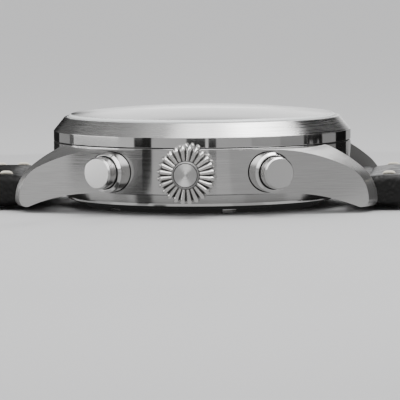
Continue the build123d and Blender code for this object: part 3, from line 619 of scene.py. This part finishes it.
def crystal():
    """The domed crystal with its bevelled edge, and its gasket; the dome is a ball's cap."""
    rim = crystal_radius - 0.25
    rise = crystal_top - crystal_edge
    dome_radius = (rim**2 + rise**2) / (2 * rise)
    lean = np.linspace(math.asin(rim / dome_radius), 0, 24)[1:-1]
    dome = zip(dome_radius * np.sin(lean), crystal_top - dome_radius * (1 - np.cos(lean)))
    outline = [(AXIS, crystal_base), (crystal_radius, crystal_base, 0.1, 1),
               (crystal_radius, crystal_edge - 0.25, 0, 1), (rim, crystal_edge),
               *dome, (AXIS, crystal_top)]
    ride(lathe("crystal_dome", outline, [crystal_glass, ground_glass], sharp=20), "case", "crystal",
         slot="crystal_glass")
    inner = crystal_radius + 0.02
    ring = [(inner, crystal_base), (gasket_outer, crystal_base), (gasket_outer, bezel_top, 0.05),
            (inner, bezel_top, 0.05)]
    ride(lathe("crystal_seal", ring, [seal_grey], closed=True), "case", "crystal_gasket", slot="seal_rubber")


def case_back():
    """The screwed case back with its raised centre, step, bevelled rim and six key notches.

    One profile of radius and height is turned about Z. Across each notch a second profile takes its place,
    which stays 0.6 mm above the table from the notch's inner wall to the boss's edge.
    """
    notches, notch_half, first_turn = 6, 0.95, math.radians(-72)
    plain_columns, notch_columns = 120, 10
    boss, step = back_rim_radius - 2.5, back_rim_radius - 1.0
    wall = boss - 1.1
    plain = np.array([(AXIS, 0), (boss - 1.6, 0), (wall, 0), (boss - 0.3, 0), (boss - 0.02, 0.66),
                      (boss, 0.7), (step, 0.85), (back_rim_radius, 1.3), (back_rim_radius, rim_top),
                      (AXIS, rim_top)])
    notched = plain.copy()
    notched[2:6] = [(wall, 0), (wall, 0.3), (wall, 0.6), (boss, 0.61)]
    half, apart = notch_half / boss, FULL_TURN / notches
    between = np.linspace(half + 1e-3, apart - half - 1e-3, plain_columns)
    across = np.linspace(apart - half, apart + half, notch_columns)
    turns = (first_turn + apart * np.arange(notches)[:, None] + np.concatenate([between, across])).ravel()
    in_notch = np.tile(np.arange(plain_columns + notch_columns) >= plain_columns, notches)
    radii, heights = np.moveaxis(np.where(in_notch[:, None], notched[:, None], plain[:, None]), -1, 0)
    surface = np.stack([radii * np.cos(turns), radii * np.sin(turns), heights], -1)
    obj = grid("case_back_plate", surface, [underside_steel, mirror_steel],
               index=[0, 0, 0, 1, 1, 0, 1, 1, 0], caps=True, sharp=25)
    ride(obj, "case", "case_back", slot="satin_steel")


# Crown and pushers


def crown():
    """The crown: petals that bulge across and grow towards the rim, parted by narrow valleys, and its boss.

    With u from -1 to 1 across a petal, its surface sinks below the crest by depth times a mix of u^2 and
    1 - sqrt(1 - u^2), where depth grows with the distance from the axis, on the face and round the rim alike.
    """
    petals, columns = 24, 28
    boss, foot, edge = 1.9, 1.99, 0.7
    depth, roundness = 0.68, 0.55
    rim = (high("crown")[0] - low("crown")[0]) / 2
    bend = np.linspace(0, math.pi / 2, 13)[1:]
    face = np.linspace(foot, rim - edge, 16)
    side = np.linspace(crown_face - edge, crown_back + 0.25, 10)[1:]
    radii = np.concatenate([face, rim - edge + edge * np.sin(bend), np.full_like(side, rim)])
    heights = np.concatenate([np.full_like(face, crown_face), crown_face - edge + edge * np.cos(bend), side])
    lean = np.concatenate([np.zeros_like(face), np.sin(bend), np.ones_like(side)])[:, None]
    u = np.tile((np.arange(columns) + 0.5) / columns * 2 - 1, petals)
    turns = (np.arange(petals * columns) + 0.5) / (petals * columns) * FULL_TURN
    sink = (1 - roundness) * u**2 + roundness * (1 - np.sqrt(1 - (0.985 * u) ** 2))
    drop = depth * (radii / rim)[:, None] * sink
    reach, rise = radii[:, None] - drop * lean, heights[:, None] - drop * np.sqrt(1 - lean**2)
    surface = np.stack([reach * np.cos(turns), reach * np.sin(turns), rise], -1)
    hub = about_z(np.array([AXIS, boss + 0.03, foot - 0.03]), crown_face - np.array([0.9, 0.9, 0.3]), turns)
    tail = about_z(np.array([rim - 0.55, 1.6, 1.56, AXIS]), crown_back + np.array([0, 0, 3.2, 3.2]), turns)
    # The sunk hub round the boss is painted black as shade.
    index = [1] * len(hub) + [0] * (len(surface) + len(tail) - 1)
    points = outward(np.concatenate([hub, surface, tail]), 0.0)
    obj = grid("crown_petals", points, [petal_steel, painted_shade_black], index=index, caps=True, sharp=75)
    # Painted shade: the valleys darken towards a near-black colour, more so where they sink deeper towards
    # the rim.
    valley_shade = smooth_step(np.abs(u), 0.5, 1.0) * np.clip(drop[:, -1:] / drop.max() * 1.4, 0, 1)
    groove_shade = np.pad(valley_shade, ((len(hub), len(tail)), (0, 0))).astype(np.float32)
    obj.data.attributes.new("groove_shade", "FLOAT", "POINT").data.foreach_set("value", groove_shade.ravel())
    ride(obj, "crown", "crown", slot="polished_steel")
    bottom, top = crown_face - 0.9, crown_boss_top
    # The boss's ring takes the darkened steel and the groove round its disc is painted black, both as painted
    # shade.
    outline = [(AXIS, bottom), (boss + 0.02, bottom), (boss + 0.02, top - 0.05, 0.07),
               (1.68, top, 0.04, 2), (1.66, top - 0.12, 0, 2), (1.62, top - 0.12, 0, 2),
               (1.6, top - 0.05, 0.02, 1), (AXIS, top - 0.02, 0, 1)]
    disc = lathe("crown_boss", outline, [shaded_steel, disc_steel, painted_shade_black], segments=160, turn=0.0)
    ride(disc, "crown", slot="polished_steel")


def pusher(name, body, turn):
    """A pusher's cap on its stem, and the fixed collar round it, as profiles about the pusher's axis."""
    front = pusher_flank + 1.85
    face, back = front + 1.75, front - 0.75
    cap, stem, stem_end = 2.25, 0.8, back - 3.5
    outline = [(AXIS, face), (cap - 0.2, face, 0.06, 1), (cap, face - 0.2, 0.06, 1), (cap, back, 0.05, 1),
               (stem, back, 0, 1), (stem, stem_end, 0, 1), (AXIS, stem_end, 0, 1)]
    ride(lathe(name + "_cap", outline, [satin_steel, turned_steel], segments=128, turn=turn), body, name,
         slot="satin_steel")
    bore, rim, tube, tube_bore = 2.37, 2.8, 2.0, 0.85
    flange, foot, ledge, well = seat_radius - 0.01, seat_floor + 0.01, seat_floor + 0.05, seat_floor + 0.4
    # The collar's bore round the cap, its ledge and its foot in the seat are painted black as shade.
    outline = [(tube_bore, case_bore, 0, 1), (tube_bore, well, 0, 1), (bore, well, 0, 1),
               (bore, front, 0.04), (rim - 0.3, front, 0.04), (rim, front - 0.3, 0.05, 2), (rim, ledge, 0, 1),
               (flange, ledge, 0, 1), (flange, foot, 0, 1), (tube, foot, 0, 1), (tube, case_bore, 0, 1)]
    collar = lathe(name + "_collar_ring", outline, [mirror_steel, painted_shade_black, turned_steel], closed=True,
                   segments=128, turn=turn)
    ride(collar, "case", name + "_collar", slot="polished_steel")


# Strap


def strap_outline(half, base, top, crown):
    """Cross-sections of the strap as (y, z) points, for columns of half-width, base, top edge and crown.

    Each runs along the flat lining, up a wall between two quarter circles, over the top, which is a parabola
    that rises by the crown above its edges, and down the other wall.
    """
    corner = np.minimum(np.minimum(strap_edge, (top - base) / 2.2), half / 2.2)
    inner, low_centre, high_centre = half - corner, base + corner, top - corner
    quarter, climb = np.arange(1, 6) / 6 * math.pi / 2, np.linspace(0, 1, 4)
    across, over = np.linspace(-1, 1, 12), np.linspace(1, -1, 24)
    wall = low_centre + (high_centre - low_centre) * climb

    def arc(side, centre, start):
        """A quarter circle at one edge."""
        return side * inner + corner * np.cos(start + quarter), centre + corner * np.sin(start + quarter)

    parts = [(inner * across, base + 0 * across), arc(1, low_centre, -math.pi / 2), (half + 0 * climb, wall),
             arc(1, high_centre, 0), (inner * over, top + crown * (1 - over**2)),
             arc(-1, high_centre, math.pi / 2), (-half + 0 * climb, wall[:, ::-1]),
             arc(-1, low_centre, math.pi)]
    return np.stack([np.concatenate(values, 1) for values in zip(*parts)], -1)


def strap_levels(x, tail_base):
    """Half-width, base, top edge and crown of the strap at distances from the watch's centre.

    Its end is rolled round the bar. S-curves lead from the roll to the padded root and from there to the thin
    tail, while the width tapers in a straight line.
    """
    away = x - bar_distance
    reach = np.where(away < loop / 2, np.sqrt(np.maximum(loop**2 - away**2, 0)), loop)
    pad = smooth_step(away, 0.3, 4.0)
    thin = smooth_step(x, bar_distance + 5.0, taper_end)
    base = (bar_height - reach) * (1 - pad) + root_base * pad
    top = (bar_height + reach) * (1 - pad) + root_top * pad
    base = base * (1 - thin) + tail_base * thin
    top = top * (1 - thin) + (tail_base + tail_thickness) * thin
    crown = root_crown * pad * (1 - thin) + tail_crown * thin
    taper = np.clip((away - 3.7) / (taper_end - bar_distance - 3.7), 0, 1)
    return strap_half + (tail_half - strap_half) * taper, base, top, crown


def strap_half_piece(name, node, body, end, tail_base, six=False):
    """One padded half of the strap with its end rolled round the spring bar; six has a round tip at -X."""
    tip, tip_radius = 12, 11.2
    places = np.concatenate([bar_distance - loop * np.cos(np.linspace(0.08, math.pi / 2, 10)),
                             np.linspace(bar_distance + 0.3, taper_end, 60),
                             np.linspace(taper_end + 1, end - tip, 24),
                             end - tip * np.cos(np.linspace(0, math.pi / 2, 40)[1:])])
    x = np.clip(places, bar_distance - loop + 0.02, end - 0.03)[:, None]
    half, base, top, crown = strap_levels(x, tail_base)
    if six:
        past = np.maximum(x - (end - tip_radius), 0)
        half = np.minimum(half, np.sqrt(np.maximum(tip_radius**2 - past**2, 0.04)))
    rows = along_x(x, strap_outline(half, base, top, crown)) * (-1 if six else 1, 1, 1)
    obj = grid(name, rows, [strap_leather], caps=True, sharp=60)
    ride(obj, body, node, slot="strap_leather")
    return obj


def many_tubes(name, tubes, material):
    """Short tubes with closed ends in one mesh, from an array of tubes x rows x columns x 3."""
    number = np.arange(tubes[..., 0].size).reshape(tubes.shape[:-1])
    after = np.roll(number, -1, 2)
    quads = np.stack([number[:, :-1], after[:, :-1], after[:, 1:], number[:, 1:]], -1).reshape(-1, 4)
    mesh = bpy.data.meshes.new(name)
    mesh.from_pydata(tubes.reshape(-1, 3) * MM, [], [*quads, *number[:, 0, ::-1], *number[:, -1]])
    mesh.update()
    return finish_mesh(name, mesh, [material], 60)


def stitches(name, body, last, tail_base, six=False):
    """Two rows of cream stitches beside the strap's edges.

    With t from -1 to 1 along a stitch, its radius goes with the root of 1 - t^4 and its middle line sinks by
    0.28 t^4, so that both ends dive into the leather.
    """
    inset, pitch, length, radius, ahead = 2.0, 3.4, 2.0, 0.32, 0.5
    x = np.arange(bar_distance + 3.9, last, pitch)
    half, _, top, crown = strap_levels(x, tail_base)
    height = top + crown * (1 - ((half - inset) / (half - strap_edge)) ** 2) + 0.12
    slope = (strap_levels(x + ahead, tail_base)[2] - top) / ahead
    x, y, z, slope = [value[:, None, None, None] for value in (x, half - inset, height, slope)]
    t, turns = np.linspace(-1, 1, 9)[:, None], np.arange(10) * FULL_TURN / 10
    side = np.array((-1, 1))[:, None, None]
    swell = radius * np.sqrt(np.maximum(1 - t**4, 0.02))
    middle = z + slope * t * length / 2 - 0.28 * t**4
    tubes = np.stack(np.broadcast_arrays(x + t * length / 2, side * y + swell * np.cos(turns),
                                         middle + 0.8 * swell * np.sin(turns)), -1).reshape(-1, 9, 10, 3)
    if six:
        tubes = tubes[:, :, ::-1] * (-1, 1, 1)
    ride(many_tubes(name, tubes, cream_thread), body, slot="strap_leather")


def keeper(name, node, body):
    """A leather loop: a wall with rounded edges carried round the strap's tail, with round corners."""
    near, far = low(node), high(node)
    wall, bend, edge = 1.1, 0.39, 0.3
    half_y, low_z, high_z = far[1] - wall - bend, near[2] + wall + bend, far[2] - wall - bend
    centres = np.array([(half_y, low_z), (half_y, high_z), (-half_y, high_z), (-half_y, low_z)])
    turns = (np.arange(4)[:, None] + np.linspace(-1, 0, 9)) * math.pi / 2
    normals = np.stack([np.cos(turns), np.sin(turns)], -1)
    path = (centres[:, None] + bend * normals).reshape(-1, 2)
    section, _ = rounded([(near[0], 0, edge), (far[0], 0, edge), (far[0], wall, edge),
                          (near[0], wall, edge)], closed=True, steps=4, support=0.05)
    rows = along_x(section[:, 0], path + normals.reshape(-1, 2) * section[:, 1, None, None])
    ride(grid(name, rows, [keeper_leather], close=True, sharp=60), body, node, slot="strap_leather")


def straps():
    """Both halves of the strap with their stitching, the tongue's slot, the row of holes and the keepers."""
    cut_low, cut_high = -1.0, 6.0
    buckle_end, buckle_base = bar_distance + 72.0, 1.25
    twelve = strap_half_piece("strap_twelve", "strap_buckle_half", "strap_12", buckle_end + 1.4, buckle_base)
    slot = (buckle_end, 0) + np.array([(-3.0, -1.35), (3.0, -1.35), (3.0, 1.35), (-3.0, 1.35)])
    cut(twelve, plates("slot_cutter", [slot], cut_low, cut_high, keeper_leather))
    hole_end, hole_base = bar_distance + 118.0, 0.0
    six = strap_half_piece("strap_six", "strap_hole_half", "strap_6", hole_end, hole_base, six=True)
    holes = [disc_outline(0.9, (24.0 - hole_end + 6.5 * k, 0), 32) for k in range(7)]
    cut(six, plates("hole_cutter", holes, cut_low, cut_high, keeper_leather))
    stitches("stitches_twelve", "strap_12", buckle_end - 6, buckle_base)
    stitches("stitches_six", "strap_6", hole_end - 14, hole_base, six=True)
    keeper("keeper_fixed", "fixed_keeper", "strap_12")
    keeper("keeper_free", "free_keeper", "free_keeper")


# Dial side


def dial_piece(name, outlines, low_z, high_z, material, body, *nodes):
    """Flat plates on the dial's side that ride on a body and may stand for CAD nodes."""
    ride(plates(name, outlines, low_z, high_z, material), body, *nodes, slot="hand_white")


def ring_marks(centre, inner, outer, width, count, skip=0):
    """Outlines of radial marks round a centre; skip leaves out every skip-th one."""
    number = np.arange(count)
    turns = (number[number % skip > 0] if skip else number) * FULL_TURN / count
    along = np.stack([np.cos(turns), np.sin(turns)], -1)
    across = np.stack([-np.sin(turns), np.cos(turns)], -1) * width / 2
    return centre + np.stack([along * inner - across, along * outer - across, along * outer + across,
                              along * inner + across], 1)


def numerals(name, entries, body, material):
    """Plain numbers, upright towards twelve o'clock; each entry is text, x, y, size and height."""
    work = bmesh.new()
    for text, x, y, size, z in entries:
        curve = bpy.data.curves.new("numeral", "FONT")
        curve.body = text
        curve.size = size * MM
        curve.align_x = curve.align_y = "CENTER"
        curve.extrude = 0.008 * MM
        curve.offset = 0.016 * size * MM
        obj = bpy.data.objects.new("numeral", curve)
        bpy.context.scene.collection.objects.link(obj)
        bpy.context.view_layer.update()
        mesh = bpy.data.meshes.new_from_object(obj.evaluated_get(bpy.context.evaluated_depsgraph_get()))
        mesh.transform(Matrix.Translation(Vector((x, y, z)) * MM) @ Matrix.Rotation(-math.pi / 2, 4, "Z"))
        work.from_mesh(mesh)
        bpy.data.objects.remove(obj)
        bpy.data.curves.remove(curve)
        bpy.data.meshes.remove(mesh)
    mesh = bpy.data.meshes.new(name)
    work.to_mesh(mesh)
    work.free()
    ride(finish_mesh(name, mesh, [material], 30), body, slot="hand_white")


def dial_print():
    """The dial's printing: minute track, hour numerals, triangle at twelve and the three counters' scales."""
    middle, ink = (0, 0), 0.012
    track = slope_foot - 0.25
    marks = np.concatenate([ring_marks(middle, track - 1.1, track, 0.13, 60, skip=5),
                            ring_marks(middle, track - 1.5, track, 0.34, 12),
                            ring_marks(middle, track - 0.45, track, 0.05, 240, skip=4)])
    dial_piece("minute_track", marks, dial_top, dial_top + ink, print_white, "case")
    triangle = [(track - 1.9, 1.15), (track - 1.9, -1.15), (track - 3.9, 0.0)]
    dial_piece("twelve_triangle", [triangle], dial_top, dial_top + 0.03, lume_white, "case")
    ring, size = 13.3, 4.0
    hours = []
    for hour in (1, 2, 3, 4, 5, 7, 8, 10, 11):
        a = math.radians(30 * hour)
        hours.append((str(hour), ring * math.cos(a), -ring * math.sin(a), size, dial_top + 0.01))
    numerals("hour_numerals", hours, "case", lume_white)
    floor_z = dial_top - 0.12
    outer, ring, size = 3.8, 2.45, 0.95
    scales, small = [], []
    for place, count, strong, texts in ((minute_counter, 30, 6, ("30", "10", "20")),
                                        (hour_counter, 12, 4, ("12", "3", "6", "9")),
                                        (running_seconds, 60, 4, ("60", "15", "30", "45"))):
        scales += [ring_marks(place, outer - 0.45, outer, 0.06, count),
                   ring_marks(place, outer - 0.7, outer, 0.13, strong)]
        for k, text in enumerate(texts):
            a = FULL_TURN * k / len(texts)
            x, y = place[0] + ring * math.cos(a), place[1] - ring * math.sin(a)
            small.append((text, x, y, size, floor_z + 0.008))
    dial_piece("counter_scales", np.concatenate(scales), floor_z, floor_z + ink, print_white, "case")
    numerals("counter_numerals", small, "case", print_white)


def blade(length, root, width, tip, tail=0.0):
    """Outline of a hand along +X: narrow at the root, widest near its end, then pointed."""
    shoulder = length - tip
    return np.array([(-tail, -root / 2), (0, -root / 2), (shoulder, -width / 2), (length, 0),
                     (shoulder, width / 2), (0, root / 2), (-tail, root / 2)])


def hands():
    """Hour and minute hands with steel rims round luminous fillings, and the chronograph's slim hands."""
    filling_start, blade_height = 2.4, 0.12
    for node, body, root, width in (("hour_hand", "hour", 0.9, 1.5), ("minute_hand", "minute", 0.75, 1.3)):
        length, base, top = high(node)[0], low(node)[2], high(node)[2]
        boss = (high(node)[1] - low(node)[1]) / 2
        rim_top_z = top - 0.03
        outlines = [blade(length, root, width, 2.2), disc_outline(boss)]
        dial_piece(node + "_rim", outlines, base, rim_top_z, mirror_steel, body, node)
        filling = blade(length - 1.5, root, width, 2.0)[1:6] * (1, 0.62)
        filling[[0, -1], 0] = filling_start
        dial_piece(node + "_filling", [filling], rim_top_z, top, lume_white, body)
    node, disc = "chrono_seconds_hand", 0.62
    length, tail, top = high(node)[0], -low(node)[0], high(node)[2]
    outlines = [blade(length, 0.34, 0.16, 1.0, tail), disc_outline(0.85),
                disc_outline(disc, (disc - tail, 0))]
    dial_piece("chrono_hand_blade", outlines, top - blade_height, top, print_white, "chrono_seconds")
    for node, body, centre, way in (("minute_counter_hand", "minute_counter", minute_counter, 1),
                                    ("hour_counter_hand", "hour_counter", hour_counter, 1),
                                    ("running_seconds_hand", "running_seconds", running_seconds, -1)):
        top = high(node)[2]
        outlines = [centre + way * blade(3.4, 0.36, 0.14, 0.5, 0.5), disc_outline(0.5, centre)]
        dial_piece(node + "_blade", outlines, top - blade_height, top, print_white, body)


def node_finishes():
    """Finishes for the CAD nodes that stay as they are."""
    satin = ("spring_bar_12", "spring_bar_6", "crown_tube", "winding_stem", "setting_lever", "buckle_bar",
             "rotor", "rotor_bearing", "movement_ring", "balance_cock", "barrel_bridge", "train_bridge",
             "mainplate", "pallet_fork", "minute_counter_hand", "hour_counter_hand", "chrono_seconds_hand",
             "slope_ring")
    finishes = {satin_steel: satin,
                mirror_steel: ("buckle_frame", "buckle_tongue", "escape_wheel", "cannon_pinion"),
                brass: ("hour_wheel", "fourth_wheel", "barrel", "balance_wheel"),
                dial_black: ("dial",),
                seal_grey: ("case_back_gasket",)}
    for material, names in finishes.items():
        for name in names:
            data = bpy.data.objects[name].data
            data.materials.clear()
            data.materials.append(material)


# Scene


def floor():
    """A plain pale floor."""
    material, tree, shader = new_material("pale_floor", (0.5, 0.5, 0.505), 0.75)
    bumped(tree, shader, stretched_noise(tree, (260, 260, 260), detail=6.0), 0.15, 0.05)
    size = 30.0 / MM
    height = -0.01
    corners = np.array([[(x, y, height) for x in (-size, size)] for y in (-size, size)])
    grid("floor", corners, [material], wrap=False)


def on_band(seen):
    """The turn from the crown's side of the place on the tent that the bezel's band mirrors, in degrees.

    seen is the angle round the bezel from the side that faces the camera.
    """
    aside = np.arcsin(case_radius / tent_radius * np.sin(np.radians(seen)))
    return camera_yaw + 2 * seen - np.degrees(aside)


def soft_window(value, start, end, softness):
    """1 between start and end and 0 outside, with S-shaped edges that wide."""
    half = softness / 2
    return smooth_step(value, start - half, start + half) * (1 - smooth_step(value, end - half, end + half))


def tent_glow(turn, height):
    """Brightness of the tent at a turn from the crown's side and a height, both in degrees.

    Heights under zero lie on the mat, where -90 is under the watch; there the glow is painted light standing
    for a lit table. A panel is start and end turn, softness, start and end height, softness and brightness,
    and is laid over those before it. The strips stand on the table and show in the bezel's band alone, each
    as a start and an end along the band and a brightness.
    """
    panels = ((-55, 150, 40, 36, 90, 10, 1.4), (-22, 150, 50, 36, 84, 8, 3.8),
              (36, 150, 36, 38, 74, 8, 10.0), (-22, 16, 8, 18, 50, 6, 3.5),
              (-135, -92, 20, 20, 100, 10, 0.22), (-170, -105, 8, -76, 36, 6, 0.13),
              (-162, -143, 6, 6, 46, 6, 0.02), (95, 190, 6, -76, 70, 8, 0.04),
              (152, 172, 5, -30, 28, 5, 0.55), (160, 196, 3, 1, 27, 2, 1.25), (166, 197, 8, 12, 25, 6, 2.5),
              (152, 182, 5, 30, 60, 4, 5.2), (-105, -56, 4, -22, 14, 4, 3.6),
              (-56, -37, 4, -76, 45, 4, 0.62), (-29, 24, 2, -76, 14, 4, 0.58),
              (24, 44, 4, -76, 45, 4, 0.45), (44, 80, 4, -76, 45, 4, 0.62),
              (-37.35, -29.3, 0.1, -62, 84, 2, 0.06), (-25, -17, 3, -90, -62, 2, 0.08))
    strips = ((-90, -86, 0.3), (-86, -73, 0.02), (-73, -62, 0.33), (-62, -58.5, 0.12), (-58.5, -26.8, 0.68),
              (-26.8, -19.6, 0.02), (-19.6, -6, 0.54), (-6, 1.2, 0.02), (1.2, 2.3, 0.75), (2.3, 5.3, 0.03),
              (5.3, 19, 0.48), (19, 31, 0.38), (31, 42.3, 0.3), (42.3, 52, 0.04), (45.5, 46.6, 0.35),
              (50, 50.8, 0.3), (52, 63, 0.3), (63, 74.5, 0.01), (74.5, 90, 0.4))
    glow = np.full(turn.shape, 0.42)
    for start, end, soft, low_edge, high_edge, high_soft, strength in panels:
        aside = soft_window(turn, start, end, soft) + soft_window(turn + 360, start, end, soft)
        mask = aside * soft_window(height, low_edge, high_edge, high_soft)
        glow = glow * (1 - mask) + strength * mask
    on_strip = (height > -0.1) & (height < 2.7)
    for start, end, strength in strips:
        mask = soft_window(turn, on_band(start), on_band(end), 0.5) * on_strip
        glow = glow * (1 - mask) + strength * mask
    return glow


def tent():
    """The photographer's light tent and dark table mat, which only reflections see: a half ball over a disc.

    Its surface is a grid of turns and heights. The mat glows with painted light standing for a lit table and
    is black where the watch stands, a painted shadow.
    """
    turns = np.concatenate([np.arange(-180, -41, 0.4), np.arange(-41, -36, 0.05), np.arange(-36, 180, 0.4)])
    heights = np.concatenate([np.linspace(-89.5, 0, 120), np.linspace(0.2, 4, 16), np.linspace(4.6, 90, 100)])
    turn, height = np.meshgrid(turns, heights)
    a, e = np.radians(turn), np.radians(np.maximum(height, 0))
    reach = tent_radius * np.where(height < 0, 1 + height / 90, np.cos(e))
    x, y = reach * np.sin(a), -reach * np.cos(a)
    # Painted shadow: the mat is almost black under the lugs and the strap's roots, and inside the case back's
    # rim.
    shadow_under_lugs = (np.abs(x) < bar_distance + 5.5) & (np.abs(y) < half_gap + 1.0)
    glow = np.where((height < 0) & (shadow_under_lugs | (reach < back_rim_radius)), 0.02, tent_glow(turn, height))
    material = bpy.data.materials.new("tent_light")
    material.use_nodes = True
    tree = material.node_tree
    tree.nodes.clear()
    tone = add_node(tree, "Attribute")
    tone.attribute_name = "glow"
    light = add_node(tree, "Emission", Strength=tone.outputs["Fac"])
    add_node(tree, "OutputMaterial", Surface=light.outputs["Emission"])
    obj = grid("light_tent", np.stack([x, y, 0.1 + tent_radius * np.sin(e)], -1), [material])
    values = obj.data.attributes.new("glow", "FLOAT", "POINT")
    values.data.foreach_set("value", glow.astype(np.float32).ravel())
    obj.visible_camera = obj.visible_diffuse = obj.visible_transmission = obj.visible_shadow = False


def area_light(name, place, target, size, power):
    """A soft rectangular light that looks at a point; places in millimetres."""
    light = bpy.data.lights.new(name, "AREA")
    light.shape = "RECTANGLE"
    light.size, light.size_y = size[0] * MM, size[1] * MM
    light.energy = power
    obj = bpy.data.objects.new(name, light)
    obj.location = Vector(place) * MM
    obj.rotation_euler = (Vector(target) - Vector(place)).to_track_quat("-Z", "Y").to_euler()
    obj.visible_camera = obj.visible_glossy = False
    bpy.context.scene.collection.objects.link(obj)


def studio():
    """A soft sky, two soft lights overhead and the tent."""
    world = bpy.data.worlds.new("studio")
    bpy.context.scene.world = world
    world.use_nodes = True
    sky = world.node_tree.nodes["Background"]
    sky.inputs["Color"].default_value = (1, 1, 1, 1)
    sky.inputs["Strength"].default_value = 1.32
    area_light("top_right", (90, -60, 260), (0, 0, 5), (220, 160), 0.5)
    area_light("top_left", (-160, -30, 240), (0, 0, 5), (120, 120), 0.25)
    tent()


def camera():
    """The photograph's camera: a long lens close to dial height, a little to the right of the crown."""
    target = np.array((-0.38, 0.0, 0.657))
    yaw, elevation, roll = math.radians(camera_yaw), math.radians(4.53), math.radians(-0.42)
    distance, focal_pixels, image_pixels = 511.6, 3523.7, 400
    level = math.cos(elevation)
    back = np.array((math.sin(yaw) * level, -math.cos(yaw) * level, math.sin(elevation)))
    right = unit(np.cross(-back, (0, 0, 1)))
    up = np.cross(right, -back)
    right, up = right * math.cos(roll) + up * math.sin(roll), up * math.cos(roll) - right * math.sin(roll)
    lens = bpy.data.cameras.new("camera")
    lens.sensor_width = 36
    lens.lens = focal_pixels * lens.sensor_width / image_pixels
    lens.clip_start, lens.clip_end = 0.01, 200
    obj = bpy.data.objects.new("camera", lens)
    place = (target + back * distance) * MM
    obj.matrix_world = Matrix([[right[k], up[k], back[k], place[k]] for k in range(3)] + [[0, 0, 0, 1]])
    bpy.context.scene.collection.objects.link(obj)
    bpy.context.scene.camera = obj


bezel()
middle_case()
lugs()
crystal()
case_back()
crown()
pusher("start_pusher", "start_pusher", pusher_turn)
pusher("reset_pusher", "reset_pusher", -pusher_turn)
straps()
dial_print()
hands()
node_finishes()
floor()
studio()
camera()
